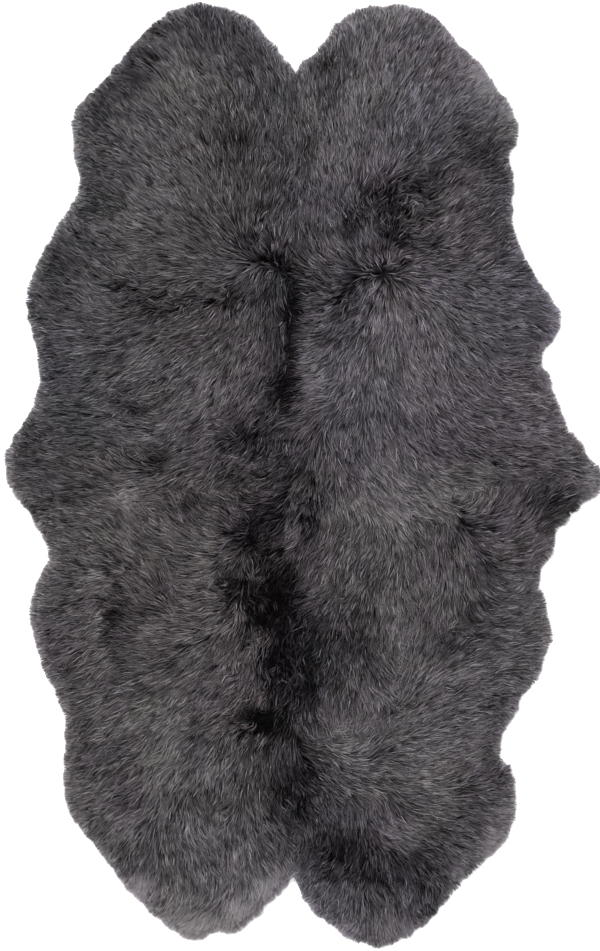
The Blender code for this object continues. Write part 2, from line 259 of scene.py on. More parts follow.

# Comb strokes: where the wool's tips point. Pixels of the photograph, and degrees
# anticlockwise from its right-hand side. The angles partly follow measured streak directions;
# which end of a stroke is the tip was judged.
COMBING = {
    "pelt_upper_left": [
        (80, 130, 145), (110, 100, 140), (150, 90, 138), (150, 140, 136), (110, 170, 158), (160, 50, 145),
        (200, 60, 120), (190, 110, 122), (225, 25, 100), (235, 80, 122), (270, 60, 108), (285, 120, 97),
        (288, 160, 95), (285, 200, 86), (255, 150, 72), (258, 190, 70), (225, 150, 105), (228, 190, 98),
        (190, 170, 130), (205, 215, 126), (150, 200, 144), (100, 210, 165), (75, 240, 152), (50, 290, 158),
        (100, 290, 152), (140, 275, 150), (100, 330, 178), (45, 365, 186), (165, 262, 174), (198, 252, 160),
        (226, 246, 134), (240, 248, 150), (256, 246, 118), (268, 244, 84), (286, 238, 92), (240, 262, 208),
        (252, 270, 226), (268, 272, 246), (280, 282, 272), (284, 256, 78), (290, 264, 84), (205, 292, 212),
        (170, 295, 201), (235, 295, 236), (258, 298, 247), (285, 295, 296), (276, 322, 264),
        (282, 350, 262), (230, 322, 220), (200, 330, 206), (250, 345, 246), (225, 380, 240),
        (262, 385, 238), (190, 375, 222), (150, 350, 210), (112, 375, 212), (150, 385, 206), (80, 360, 182),
        (90, 400, 188), (150, 415, 182), (195, 405, 212), (60, 440, 174), (105, 440, 176), (110, 470, 146),
        (150, 445, 192), (190, 440, 214), (235, 440, 214), (265, 430, 234), (288, 410, 225), (20, 465, 172),
        (40, 480, 168), (80, 475, 158), (150, 482, 190), (190, 475, 214), (240, 475, 219), (285, 470, 214),
        (248, 220, 76), (262, 222, 72), (276, 222, 58), (248, 206, 80), (262, 206, 75), (248, 234, 75),
        (262, 234, 62), (276, 234, 52), (262, 247, 95), (234, 233, 130), (228, 264, 168), (220, 262, 140),
        (220, 276, 165), (163, 298, 218), (234, 304, 255), (290, 373, 240), (136, 458, 130),
        (150, 458, 142),
    ],
    "pelt_lower_left": [
        (30, 500, 192), (60, 530, 180), (60, 600, 180), (70, 640, 195), (90, 670, 209), (110, 690, 210),
        (80, 505, 170), (110, 505, 176), (95, 545, 160), (140, 530, 130), (140, 565, 130), (170, 555, 150),
        (172, 590, 126), (172, 525, 135), (203, 530, 130), (200, 560, 172), (200, 595, 177),
        (200, 625, 172), (165, 622, 176), (138, 595, 150), (140, 622, 157), (230, 515, 150),
        (235, 545, 215), (232, 565, 244), (258, 520, 245), (262, 560, 237), (262, 600, 252),
        (230, 590, 215), (288, 530, 229), (288, 590, 278), (286, 640, 262), (112, 590, 200),
        (110, 620, 204), (110, 655, 211), (143, 652, 186), (142, 680, 190), (170, 650, 180),
        (172, 685, 209), (200, 655, 224), (230, 640, 231), (260, 650, 251), (230, 690, 221),
        (200, 705, 225), (260, 690, 248), (286, 690, 270), (125, 720, 212), (80, 740, 220), (80, 775, 204),
        (135, 765, 208), (170, 750, 222), (170, 780, 234), (110, 800, 214), (140, 805, 218),
        (168, 805, 243), (200, 745, 232), (200, 775, 238), (232, 712, 209), (258, 712, 232),
        (232, 745, 249), (262, 745, 258), (230, 775, 246), (262, 775, 282), (288, 760, 287), (85, 805, 220),
        (112, 835, 220), (138, 838, 237), (115, 862, 232), (142, 865, 239), (200, 800, 283),
        (172, 832, 290), (202, 832, 300), (232, 800, 234), (230, 832, 265), (230, 860, 276),
        (260, 805, 302), (260, 832, 297), (262, 858, 304), (289, 805, 306), (288, 850, 290),
        (172, 862, 286), (202, 865, 290), (172, 892, 232), (202, 894, 235), (235, 890, 245),
        (262, 888, 238), (195, 925, 228), (145, 892, 250), (150, 501, 178), (163, 501, 178),
        (192, 504, 110), (234, 502, 160), (248, 502, 150), (248, 514, 160), (246, 528, 160),
        (248, 542, 250), (220, 542, 148), (206, 542, 155), (220, 584, 194), (178, 598, 130),
        (178, 612, 137), (248, 598, 250), (122, 612, 208), (262, 620, 244), (192, 794, 290),
    ],
    "pelt_upper_right": [
        (310, 100, 95), (305, 180, 98), (305, 225, 91), (335, 70, 96), (350, 30, 100), (350, 110, 91),
        (350, 150, 97), (335, 190, 101), (380, 25, 84), (380, 100, 88), (380, 150, 93), (408, 55, 55),
        (408, 25, 64), (440, 60, 55), (412, 110, 58), (412, 145, 66), (440, 95, 45), (468, 90, 38),
        (495, 105, 39), (475, 138, 42), (505, 140, 34), (440, 145, 36), (443, 172, 25), (410, 172, 36),
        (440, 205, 38), (470, 178, 29), (470, 212, 20), (500, 180, 38), (500, 215, 36), (405, 200, 11),
        (412, 228, 13), (340, 205, 98), (365, 180, 98), (385, 178, 80), (360, 220, 95), (378, 222, 92),
        (350, 250, 112), (372, 250, 97), (335, 235, 90), (322, 255, 105), (442, 235, 38), (470, 238, 28),
        (502, 240, 34), (500, 268, 12), (530, 282, -8), (412, 262, 11), (440, 262, 5), (470, 264, 21),
        (440, 288, -18), (472, 292, -16), (505, 295, -7), (408, 290, -43), (382, 292, -100),
        (410, 318, -88), (438, 322, -53), (382, 322, -98), (380, 350, -84), (355, 298, 215),
        (350, 325, 228), (345, 280, 186), (322, 288, 168), (312, 320, 184), (320, 350, 203),
        (320, 382, 195), (350, 352, 251), (350, 385, 253), (322, 412, 211), (350, 412, 256),
        (410, 352, -67), (440, 350, -68), (380, 382, -63), (408, 382, -59), (440, 380, -65),
        (470, 350, -40), (470, 382, -33), (468, 322, -17), (502, 325, -6), (502, 355, 6), (532, 325, -22),
        (535, 355, -17), (545, 385, -22), (502, 385, -1), (380, 412, -70), (410, 412, -57), (442, 412, -37),
        (470, 412, -15), (502, 412, -4), (535, 412, -6), (303, 412, 205), (303, 442, 228), (303, 472, 218),
        (322, 442, 262), (350, 445, 293), (382, 442, -62), (410, 442, -47), (440, 442, -27),
        (470, 442, -12), (502, 442, -13), (532, 442, -14), (565, 450, -5), (350, 474, -62), (382, 472, -57),
        (412, 474, -36), (442, 474, -14), (475, 474, -18), (506, 474, -4), (536, 472, -12), (580, 478, -11),
        (322, 474, 273), (332, 388, 182), (318, 334, 168), (332, 430, 285), (402, 484, -22),
        (388, 192, -30), (388, 206, -40), (402, 192, 2), (402, 233, 8), (402, 247, 18), (402, 262, 2),
        (374, 192, 82), (388, 220, 110), (388, 247, 85), (388, 261, 62), (362, 268, 112), (375, 268, 98),
        (363, 281, 245), (377, 282, 260), (332, 276, 142), (346, 277, 150), (392, 292, -58),
    ],
    "pelt_lower_right": [
        (303, 505, 240), (303, 532, 232), (303, 562, 233), (320, 505, 266), (350, 503, 296),
        (380, 503, -44), (410, 502, -18), (438, 502, -24), (462, 500, 80), (485, 500, 77), (506, 502, 72),
        (532, 500, 47), (560, 502, 22), (585, 494, 8), (474, 526, 30), (500, 530, 32), (530, 530, 38),
        (320, 532, 241), (350, 532, 236), (380, 530, -84), (410, 530, -60), (440, 530, -95),
        (320, 562, 225), (350, 562, 250), (380, 560, 256), (410, 560, -82), (440, 560, 262),
        (460, 562, 275), (504, 560, 20), (530, 562, 33), (320, 592, 206), (350, 592, 220), (380, 590, 268),
        (410, 592, -75), (440, 590, 262), (461, 592, 278), (502, 592, 22), (530, 592, 28), (320, 622, 220),
        (348, 620, 284), (380, 622, 263), (412, 618, 246), (440, 618, 266), (482, 622, 12), (505, 622, 20),
        (532, 622, 16), (320, 652, 248), (350, 652, 264), (380, 652, -58), (404, 655, 76), (440, 660, 38),
        (470, 652, 23), (500, 652, 13), (530, 652, -2), (320, 682, 260), (350, 682, 270), (378, 682, -63),
        (408, 684, 62), (440, 684, 23), (470, 682, 8), (500, 684, -18), (308, 710, 278), (335, 712, 270),
        (358, 708, 258), (380, 706, 256), (412, 706, 44), (440, 710, 23), (470, 712, 3), (498, 712, -20),
        (312, 732, -25), (328, 742, 0), (325, 757, -42), (342, 766, -8), (355, 750, 32), (374, 738, 45),
        (398, 728, 34), (410, 742, 11), (440, 742, 12), (472, 742, -2), (310, 780, -50), (350, 778, -12),
        (380, 770, -11), (410, 770, 16), (440, 770, 14), (470, 770, 17), (498, 775, 10), (322, 802, -62),
        (350, 802, -88), (380, 800, -80), (410, 800, -12), (440, 800, -7), (470, 800, -9), (500, 802, -15),
        (312, 832, -80), (350, 832, -88), (380, 830, -34), (410, 830, -5), (440, 830, -10), (470, 832, -25),
        (498, 832, -38), (320, 862, 228), (350, 860, 240), (380, 860, -88), (410, 860, -42),
        (440, 862, -36), (470, 858, -8), (320, 890, 242), (350, 892, 252), (380, 890, -66), (408, 890, -90),
        (436, 890, -80), (350, 922, 235), (380, 920, -76), (410, 918, -46), (472, 491, 68), (486, 491, 55),
        (346, 514, 248), (362, 528, 240), (443, 514, -75), (464, 545, 282), (474, 562, 300),
        (478, 578, 305), (474, 598, 300), (480, 540, 350), (489, 556, 350), (493, 572, 354), (494, 590, 0),
        (372, 545, 242), (444, 640, 52), (402, 668, 76), (400, 684, 86), (400, 698, 84), (332, 736, 18),
        (360, 740, 45), (360, 753, 58), (388, 738, -10), (402, 780, 14), (388, 822, -22), (318, 838, 245),
        (306, 850, 245), (320, 850, 222), (334, 850, 205), (346, 850, 225), (402, 876, -98),
        (416, 878, -86),
    ],
}

# Where the wool stands up, so that one looks into it, and where it shows darker or lighter.
# The tone column is partly painted light and shade: darkening for the shade inside standing
# and parted wool, and lighter and darker patches for how the light falls on the lie of the
# wool, such as the pale band along the lower rim, beside the wool's own changes of tone.
# Pixels of the photograph; stand from 0 to 1, tone in shares of the whole range. Most rows
# follow the measured brightness of the photograph less that of an earlier render.
ZONE_COLUMNS = ("x", "y", "half_width", "half_length", "stand", "tone")
ZONES = [
    (235, 133, 14, 12, 0.3, -0.19), (270, 258, 18, 14, 0.9, -0.57), (253, 240, 14, 10, 0.6, -0.27),
    (290, 335, 9, 70, 0.3, -0.30), (288, 310, 9, 16, 0.4, -0.27), (278, 385, 12, 24, 0.4, -0.32),
    (130, 290, 18, 12, 0.6, -0.27), (165, 300, 22, 10, 0.6, -0.24), (200, 297, 30, 9, 0.4, -0.14),
    (231, 297, 14, 12, 0.6, -0.27), (135, 405, 12, 10, 0.4, -0.19), (161, 460, 14, 12, 0.5, -0.24),
    (28, 445, 15, 18, 0.3, -0.27), (245, 437, 17, 14, 0.5, -0.27), (262, 465, 42, 48, 0.3, -0.22),
    (262, 472, 18, 18, 0.3, -0.14), (312, 500, 15, 36, 0.2, -0.30), (248, 532, 19, 16, 0.6, -0.35),
    (235, 580, 16, 18, 0.6, -0.35), (265, 600, 30, 30, 0.8, -0.61), (290, 655, 13, 50, 0.4, -0.54),
    (275, 660, 12, 20, 0.4, -0.24), (320, 650, 20, 24, 0.4, -0.35), (305, 690, 12, 24, 0.5, -0.41),
    (260, 718, 24, 13, 0.9, -0.61), (290, 790, 24, 28, 0.3, -0.35), (300, 795, 34, 40, 0.1, -0.19),
    (345, 858, 38, 22, 0.4, -0.35), (410, 878, 32, 26, 0.3, -0.27), (360, 642, 20, 20, 0.3, -0.22),
    (345, 600, 14, 14, 0.3, -0.19), (112, 615, 14, 20, 0.5, -0.27), (126, 590, 14, 12, 0.4, -0.16),
    (130, 570, 9, 9, 0.3, -0.14), (468, 527, 17, 14, 0.2, -0.24), (486, 572, 16, 18, 0.2, -0.19),
    (470, 622, 18, 18, 0.2, -0.19), (450, 642, 13, 11, 0.5, -0.27), (548, 502, 24, 20, 0.2, -0.35),
    (385, 205, 24, 24, 0.7, -0.46), (417, 184, 18, 14, 0.6, -0.35), (352, 226, 15, 15, 0.5, -0.32),
    (402, 235, 22, 17, 0.5, -0.35), (385, 262, 16, 11, 0.5, -0.12), (345, 295, 20, 12, 0.5, -0.32),
    (320, 280, 12, 10, 0.4, -0.27), (488, 152, 22, 18, 0.3, -0.24), (460, 135, 16, 12, 0.2, -0.14),
    (467, 795, 12, 12, 0.2, -0.14), (55, 270, 18, 36, 0.1, -0.19), (75, 420, 22, 24, 0.1, -0.14),
    (105, 88, 30, 26, 0.1, -0.16), (218, 28, 26, 22, 0.1, -0.16), (250, 60, 14, 14, 0.2, -0.14),
    (326, 62, 13, 14, 0.3, -0.27), (308, 165, 8, 22, 0.1, -0.16), (203, 860, 10, 8, 0.4, -0.16),
    (191, 502, 13, 12, 0.4, -0.19), (68, 502, 14, 10, 0.2, -0.14), (275, 180, 14, 26, 0.1, -0.11),
    (220, 800, 14, 14, 0.2, -0.11), (196, 710, 10, 20, 0.2, -0.11), (392, 713, 8, 7, 0.5, -0.27),
    (393, 746, 10, 6, 0.5, -0.24), (240, 665, 14, 14, 0.3, -0.11), (395, 880, 60, 14, 0.1, -0.08),
    (175, 80, 18, 24, 0.0, 0.10), (110, 230, 20, 18, 0.0, 0.07), (170, 170, 16, 18, 0.0, 0.05),
    (332, 182, 14, 34, 0.0, 0.08), (400, 95, 46, 38, 0.0, 0.09), (480, 82, 30, 36, 0.0, 0.14),
    (430, 385, 54, 20, 0.0, 0.08), (330, 375, 14, 24, 0.0, 0.10), (432, 496, 34, 9, 0.0, 0.14),
    (392, 514, 16, 13, 0.0, 0.10), (390, 622, 16, 22, 0.0, 0.12), (350, 725, 20, 16, 0.0, 0.10),
    (440, 735, 46, 38, 0.0, 0.09), (399, 830, 16, 10, 0.0, 0.18), (500, 838, 16, 20, 0.0, 0.22),
    (205, 915, 95, 26, 0.0, 0.30), (170, 735, 22, 26, 0.0, 0.09), (92, 588, 12, 16, 0.0, 0.08),
    (132, 497, 30, 12, 0.0, 0.11), (316, 372, 14, 30, 0.0, 0.14), (293, 535, 10, 12, 0.2, 0.16),
    (450, 280, 40, 24, 0.0, 0.05), (130, 370, 16, 12, 0.0, 0.06), (550, 460, 24, 16, 0.0, 0.04),
    (375, 925, 40, 14, 0.0, 0.10), (160, 410, 10, 14, 0.0, 0.07), (138, 52, 20, 30, 0.0, -0.20),
    (94, 112, 20, 36, 0.0, -0.18), (84, 185, 14, 34, 0.0, -0.15), (68, 252, 28, 20, 0.0, -0.17),
    (52, 356, 18, 26, 0.0, -0.17), (36, 506, 16, 12, 0.0, -0.15), (240, 150, 20, 16, 0.1, -0.17),
    (264, 195, 12, 22, 0.0, -0.11), (262, 112, 14, 28, 0.0, -0.09), (294, 285, 12, 34, 0.1, -0.30),
    (290, 350, 9, 42, 0.1, -0.28), (276, 388, 18, 16, 0.2, -0.24), (250, 300, 22, 12, 0.1, -0.12),
    (152, 315, 28, 10, 0.1, -0.14), (125, 342, 12, 12, 0.0, -0.10), (136, 412, 16, 10, 0.1, -0.16),
    (145, 452, 26, 10, 0.0, -0.12), (240, 428, 18, 12, 0.1, -0.14), (270, 408, 18, 18, 0.0, -0.10),
    (230, 508, 22, 12, 0.1, -0.10), (272, 515, 22, 16, 0.2, -0.33), (265, 545, 20, 22, 0.3, -0.42),
    (280, 588, 22, 22, 0.2, -0.40), (308, 535, 9, 24, 0.0, -0.20), (266, 622, 20, 18, 0.1, -0.24),
    (270, 675, 14, 40, 0.2, -0.38), (312, 675, 12, 15, 0.1, -0.28), (308, 628, 14, 20, 0.0, -0.22),
    (355, 640, 22, 22, 0.0, -0.14), (340, 680, 16, 18, 0.0, -0.15), (275, 724, 24, 15, 0.2, -0.32),
    (268, 750, 26, 10, 0.1, -0.16), (311, 770, 10, 17, 0.1, -0.22), (310, 815, 14, 14, 0.0, -0.15),
    (346, 846, 26, 26, 0.0, -0.22), (430, 850, 20, 9, 0.0, -0.14), (430, 910, 12, 9, 0.0, -0.20),
    (490, 768, 12, 12, 0.0, -0.16), (431, 190, 12, 14, 0.0, -0.15), (430, 246, 11, 18, 0.0, -0.10),
    (478, 155, 30, 12, 0.0, -0.09), (492, 214, 18, 16, 0.0, -0.09), (525, 270, 10, 12, 0.0, -0.15),
    (118, 612, 18, 9, 0.1, -0.28), (110, 630, 10, 12, 0.1, -0.14), (195, 750, 10, 12, 0.0, -0.10),
    (270, 790, 10, 26, 0.0, -0.09), (350, 30, 9, 8, 0.0, 0.22), (398, 20, 20, 12, 0.0, 0.19),
    (420, 66, 56, 46, 0.0, 0.10), (480, 80, 18, 17, 0.0, 0.18), (385, 162, 11, 12, 0.0, 0.18),
    (368, 214, 11, 9, 0.0, 0.15), (338, 250, 11, 11, 0.0, 0.13), (385, 320, 28, 16, 0.0, 0.17),
    (355, 372, 20, 24, 0.0, 0.16), (430, 345, 40, 30, 0.0, 0.08), (500, 385, 22, 18, 0.0, 0.09),
    (528, 428, 19, 13, 0.0, 0.22), (390, 480, 40, 26, 0.0, 0.14), (370, 510, 24, 16, 0.0, 0.17),
    (465, 508, 56, 17, 0.0, 0.10), (420, 560, 48, 28, 0.0, 0.07), (165, 530, 14, 12, 0.0, 0.12),
    (200, 545, 15, 15, 0.0, 0.14), (90, 578, 14, 22, 0.0, 0.10), (150, 636, 13, 9, 0.0, 0.10),
    (200, 636, 32, 18, 0.0, 0.11), (190, 700, 13, 12, 0.0, 0.13), (145, 712, 38, 22, 0.0, 0.11),
    (170, 775, 18, 18, 0.0, 0.15), (212, 770, 14, 13, 0.0, 0.19), (196, 832, 16, 16, 0.0, 0.18),
    (130, 826, 19, 15, 0.0, 0.14), (190, 860, 12, 13, 0.0, 0.13), (258, 882, 28, 15, 0.0, 0.26),
    (281, 872, 12, 12, 0.0, 0.24), (238, 906, 22, 15, 0.0, 0.28), (190, 931, 32, 10, 0.0, 0.24),
    (145, 896, 19, 13, 0.0, 0.17), (470, 850, 28, 12, 0.0, 0.15), (450, 874, 13, 9, 0.0, 0.22),
    (395, 926, 22, 11, 0.0, 0.17), (350, 752, 14, 11, 0.0, 0.30), (430, 675, 18, 14, 0.0, 0.19),
    (472, 676, 24, 16, 0.0, 0.15), (385, 700, 13, 11, 0.0, 0.14), (424, 785, 20, 18, 0.0, 0.19),
    (440, 756, 36, 22, 0.0, 0.08), (555, 315, 9, 12, 0.0, 0.17), (590, 480, 8, 10, 0.0, 0.18),
    (530, 650, 14, 28, 0.0, 0.09), (152, 150, 20, 24, 0.0, 0.14), (166, 205, 13, 15, 0.0, 0.17),
    (128, 214, 20, 17, 0.0, 0.10), (180, 78, 14, 24, 0.0, 0.09), (160, 28, 15, 12, 0.0, -0.13),
    (200, 10, 14, 9, 0.0, -0.11), (240, 38, 14, 14, 0.0, -0.10), (120, 82, 10, 10, 0.0, -0.08),
    (460, 130, 10, 10, 0.0, -0.08), (490, 172, 12, 10, 0.0, -0.11), (380, 190, 14, 10, 0.0, -0.11),
    (108, 210, 22, 10, 0.0, -0.10), (250, 212, 12, 10, 0.0, -0.12), (430, 212, 10, 10, 0.0, -0.10),
    (370, 252, 12, 9, 0.0, -0.18), (410, 250, 12, 10, 0.0, -0.12), (376, 276, 12, 8, 0.5, 0.00),
    (50, 290, 22, 10, 0.0, -0.09), (200, 300, 14, 13, 0.0, -0.11), (250, 310, 20, 9, 0.0, -0.09),
    (270, 328, 8, 12, 0.0, -0.10), (290, 315, 9, 20, 0.0, -0.12), (320, 331, 13, 9, 0.0, -0.11),
    (120, 410, 10, 10, 0.0, -0.09), (80, 450, 14, 10, 0.0, -0.12), (250, 438, 20, 12, 0.0, -0.10),
    (290, 470, 10, 10, 0.0, -0.12), (190, 510, 10, 8, 0.0, -0.09), (250, 540, 20, 14, 0.0, -0.10),
    (290, 580, 9, 15, 0.0, -0.14), (250, 610, 11, 10, 0.0, -0.17), (50, 610, 11, 11, 0.0, -0.12),
    (150, 610, 10, 8, 0.0, -0.13), (310, 630, 10, 10, 0.0, -0.12), (270, 650, 10, 9, 0.0, -0.11),
    (310, 700, 10, 22, 0.0, -0.12), (260, 710, 14, 9, 0.0, -0.10), (240, 740, 14, 12, 0.0, -0.12),
    (370, 810, 10, 10, 0.0, -0.11), (310, 840, 12, 14, 0.0, -0.12), (360, 900, 15, 12, 0.0, -0.09),
    (480, 80, 15, 13, 0.0, 0.11), (360, 100, 13, 12, 0.0, 0.11), (510, 120, 10, 13, 0.0, 0.13),
    (70, 250, 9, 9, 0.0, 0.13), (210, 390, 10, 9, 0.0, 0.10), (130, 500, 10, 14, 0.0, 0.17),
    (110, 610, 8, 8, 0.0, 0.10), (130, 730, 12, 22, 0.0, 0.11), (390, 750, 10, 10, 0.0, 0.11),
    (510, 810, 9, 10, 0.0, 0.15), (490, 840, 13, 13, 0.0, 0.14), (240, 850, 14, 9, 0.0, 0.13),
    (220, 870, 13, 9, 0.0, 0.11), (140, 890, 14, 9, 0.0, 0.19), (270, 890, 10, 9, 0.0, 0.24),
    (240, 910, 14, 9, 0.0, 0.16), (205, 930, 22, 9, 0.0, 0.20), (350, 930, 9, 9, 0.0, 0.15),
    (590, 480, 7, 9, 0.0, 0.10), (200, 10, 14, 9, 0.0, -0.17), (160, 29, 15, 9, 0.0, -0.17),
    (130, 50, 10, 9, 0.0, -0.12), (350, 118, 10, 20, 0.0, 0.20), (332, 158, 11, 18, 0.0, 0.15),
    (370, 170, 10, 10, 0.0, 0.24), (510, 110, 9, 12, 0.0, 0.17), (110, 130, 10, 9, 0.0, 0.17),
    (372, 68, 10, 9, 0.0, 0.11), (472, 70, 10, 10, 0.0, 0.11), (490, 92, 9, 10, 0.0, 0.11),
    (310, 110, 9, 10, 0.0, 0.12), (270, 152, 10, 12, 0.0, -0.12), (95, 195, 14, 12, 0.0, -0.14),
    (110, 212, 24, 9, 0.0, -0.12), (510, 190, 9, 12, 0.0, -0.16), (80, 232, 14, 9, 0.0, -0.15),
    (170, 228, 10, 12, 0.0, 0.15), (230, 230, 10, 9, 0.0, -0.11), (310, 231, 20, 9, 0.0, -0.11),
    (510, 232, 9, 10, 0.0, -0.18), (350, 211, 9, 8, 0.0, -0.12), (418, 212, 13, 9, 0.0, -0.11),
    (80, 251, 13, 8, 0.0, 0.13), (390, 250, 9, 9, 0.0, 0.15), (520, 268, 14, 9, 0.0, -0.14),
    (130, 290, 10, 9, 0.0, -0.15), (210, 290, 10, 9, 0.0, -0.15), (270, 291, 8, 10, 0.0, -0.22),
    (30, 310, 9, 12, 0.0, -0.28), (110, 310, 9, 9, 0.0, 0.13), (350, 310, 10, 9, 0.0, -0.13),
    (218, 330, 14, 9, 0.0, -0.13), (270, 328, 8, 9, 0.0, -0.12), (210, 350, 9, 8, 0.0, 0.12),
    (540, 350, 16, 10, 0.0, 0.10), (50, 380, 12, 18, 0.0, -0.16), (200, 392, 14, 9, 0.0, 0.13),
    (412, 400, 12, 16, 0.0, 0.17), (140, 410, 15, 8, 0.0, -0.15), (190, 411, 22, 8, 0.0, 0.12),
    (30, 430, 10, 10, 0.0, -0.18), (90, 431, 9, 8, 0.0, -0.13), (270, 430, 9, 9, 0.0, -0.16),
    (320, 430, 14, 9, 0.0, 0.13), (220, 450, 14, 9, 0.0, -0.13), (370, 460, 9, 16, 0.0, 0.14),
    (550, 450, 10, 9, 0.0, 0.11), (130, 500, 10, 16, 0.0, 0.13), (450, 490, 9, 8, 0.0, 0.14),
    (591, 480, 6, 12, 0.0, 0.14), (330, 515, 9, 13, 0.0, 0.11), (410, 510, 10, 8, 0.0, 0.12),
    (30, 510, 10, 10, 0.0, -0.21), (570, 511, 9, 10, 0.0, -0.22), (50, 530, 10, 13, 0.0, -0.18),
    (130, 540, 10, 14, 0.0, 0.14), (550, 530, 10, 9, 0.0, -0.22), (370, 550, 9, 9, 0.0, 0.13),
    (450, 550, 9, 8, 0.0, -0.21), (530, 550, 9, 9, 0.0, 0.11), (210, 570, 9, 9, 0.0, 0.15),
    (190, 591, 9, 9, 0.0, 0.14), (290, 572, 8, 10, 0.0, -0.12), (190, 610, 9, 8, 0.0, 0.14),
    (100, 610, 12, 8, 0.0, 0.18), (232, 618, 9, 14, 0.0, 0.12), (350, 610, 9, 8, 0.0, 0.13),
    (370, 611, 8, 8, 0.0, -0.15), (48, 630, 9, 10, 0.0, -0.15), (170, 640, 9, 14, 0.0, -0.11),
    (70, 668, 10, 10, 0.0, -0.15), (490, 670, 9, 9, 0.0, -0.14), (510, 670, 9, 9, 0.0, 0.10),
    (250, 711, 9, 9, 0.0, -0.11), (310, 735, 8, 24, 0.0, -0.13), (90, 742, 10, 14, 0.0, -0.14),
    (470, 738, 10, 16, 0.0, 0.18), (170, 750, 9, 9, 0.0, 0.13), (210, 751, 9, 8, 0.0, 0.12),
    (408, 720, 22, 12, 0.0, 0.11), (370, 770, 30, 8, 0.0, 0.11), (470, 790, 9, 8, 0.0, -0.11),
    (500, 812, 15, 10, 0.0, 0.17), (410, 810, 9, 8, 0.0, -0.13), (432, 811, 9, 7, 0.0, 0.12),
    (95, 828, 14, 10, 0.0, -0.15), (390, 832, 9, 8, 0.0, 0.12), (440, 832, 14, 8, 0.0, -0.11),
    (490, 850, 9, 9, 0.0, 0.13), (236, 860, 14, 16, 0.0, 0.16), (400, 880, 16, 14, 0.0, 0.15),
    (470, 870, 9, 8, 0.0, -0.12), (140, 891, 16, 9, 0.0, 0.18), (270, 889, 11, 9, 0.0, 0.30),
    (248, 911, 11, 8, 0.0, 0.27), (204, 930, 26, 9, 0.0, 0.30), (350, 931, 10, 8, 0.0, 0.14),
    (430, 911, 9, 8, 0.0, -0.16), (350, 910, 9, 8, 0.0, -0.12), (200, 14, 14, 9, 0.0, -0.09),
    (160, 31, 15, 9, 0.0, -0.09), (130, 51, 9, 8, 0.0, -0.10), (231, 50, 10, 8, 0.0, -0.09),
    (390, 67, 9, 8, 0.0, -0.09), (430, 70, 9, 8, 0.0, -0.07), (120, 93, 14, 8, 0.0, -0.08),
    (268, 95, 9, 14, 0.0, -0.10), (462, 117, 14, 9, 0.0, -0.08), (506, 112, 8, 9, 0.0, 0.08),
    (392, 150, 9, 8, 0.0, -0.10), (500, 172, 12, 8, 0.0, -0.10), (150, 190, 9, 8, 0.0, -0.08),
    (262, 190, 26, 8, 0.0, -0.06), (130, 210, 9, 8, 0.0, -0.08), (508, 206, 7, 12, 0.0, -0.12),
    (275, 229, 13, 8, 0.0, -0.09), (150, 250, 9, 8, 0.0, -0.08), (200, 250, 13, 8, 0.0, -0.07),
    (368, 266, 8, 7, 0.0, -0.12), (330, 269, 9, 9, 0.0, -0.09), (34, 302, 9, 13, 0.0, -0.11),
    (290, 310, 7, 8, 0.0, 0.10), (312, 371, 9, 9, 0.0, -0.08), (52, 411, 9, 8, 0.0, -0.08),
    (150, 409, 9, 8, 0.0, -0.12), (430, 411, 8, 8, 0.0, 0.09), (490, 409, 8, 8, 0.0, 0.09),
    (451, 431, 8, 8, 0.0, -0.08), (170, 450, 9, 8, 0.0, -0.08), (71, 470, 8, 8, 0.0, -0.09),
    (220, 471, 13, 8, 0.0, -0.09), (570, 471, 8, 8, 0.0, -0.11), (290, 491, 8, 8, 0.0, -0.09),
    (588, 490, 7, 7, 0.0, 0.09), (32, 509, 8, 8, 0.0, -0.13), (568, 509, 8, 8, 0.0, -0.09),
    (250, 511, 8, 8, 0.0, 0.08), (490, 530, 9, 8, 0.0, -0.11), (545, 531, 12, 8, 0.0, -0.11),
    (90, 551, 8, 8, 0.0, -0.10), (51, 541, 8, 12, 0.0, -0.08), (160, 550, 12, 8, 0.0, 0.09),
    (280, 550, 12, 8, 0.0, -0.10), (331, 550, 8, 8, 0.0, 0.08), (510, 551, 8, 8, 0.0, 0.08),
    (246, 573, 10, 9, 0.0, 0.12), (71, 590, 8, 8, 0.0, -0.11), (150, 591, 8, 8, 0.0, 0.10),
    (231, 591, 7, 7, 0.0, 0.09), (411, 590, 8, 8, 0.0, -0.09), (548, 600, 8, 13, 0.0, -0.10),
    (109, 611, 8, 8, 0.0, 0.13), (150, 612, 19, 8, 0.0, -0.09), (420, 631, 13, 8, 0.0, 0.08),
    (290, 651, 8, 8, 0.0, 0.08), (451, 651, 8, 8, 0.0, -0.08), (470, 670, 8, 8, 0.0, -0.10),
    (110, 690, 8, 8, 0.0, -0.10), (250, 691, 8, 8, 0.0, -0.08), (411, 691, 8, 8, 0.0, 0.08),
    (508, 711, 8, 8, 0.0, 0.09), (231, 731, 8, 8, 0.0, -0.08), (190, 751, 8, 8, 0.0, -0.08),
    (488, 751, 8, 8, 0.0, -0.11), (111, 770, 8, 8, 0.0, -0.10), (370, 771, 8, 8, 0.0, -0.09),
    (290, 791, 8, 8, 0.0, 0.13), (110, 811, 8, 8, 0.0, 0.09), (190, 811, 8, 8, 0.0, 0.08),
    (271, 811, 8, 8, 0.0, -0.10), (91, 831, 8, 8, 0.0, -0.09), (488, 842, 8, 11, 0.0, 0.11),
    (138, 882, 14, 9, 0.0, 0.14), (256, 893, 10, 9, 0.0, 0.10), (206, 928, 20, 8, 0.0, 0.08),
    (284, 312, 6, 16, 0.0, 0.18), (301, 312, 6, 18, 0.0, -0.15), (268, 312, 7, 16, 0.0, -0.13),
    (287, 345, 5, 14, 0.0, 0.14), (297, 345, 6, 16, 0.0, -0.17), (308, 345, 6, 14, 0.0, 0.13),
    (268, 345, 6, 12, 0.0, -0.12), (293, 375, 5, 12, 0.0, -0.09), (297, 405, 7, 12, 0.0, -0.10),
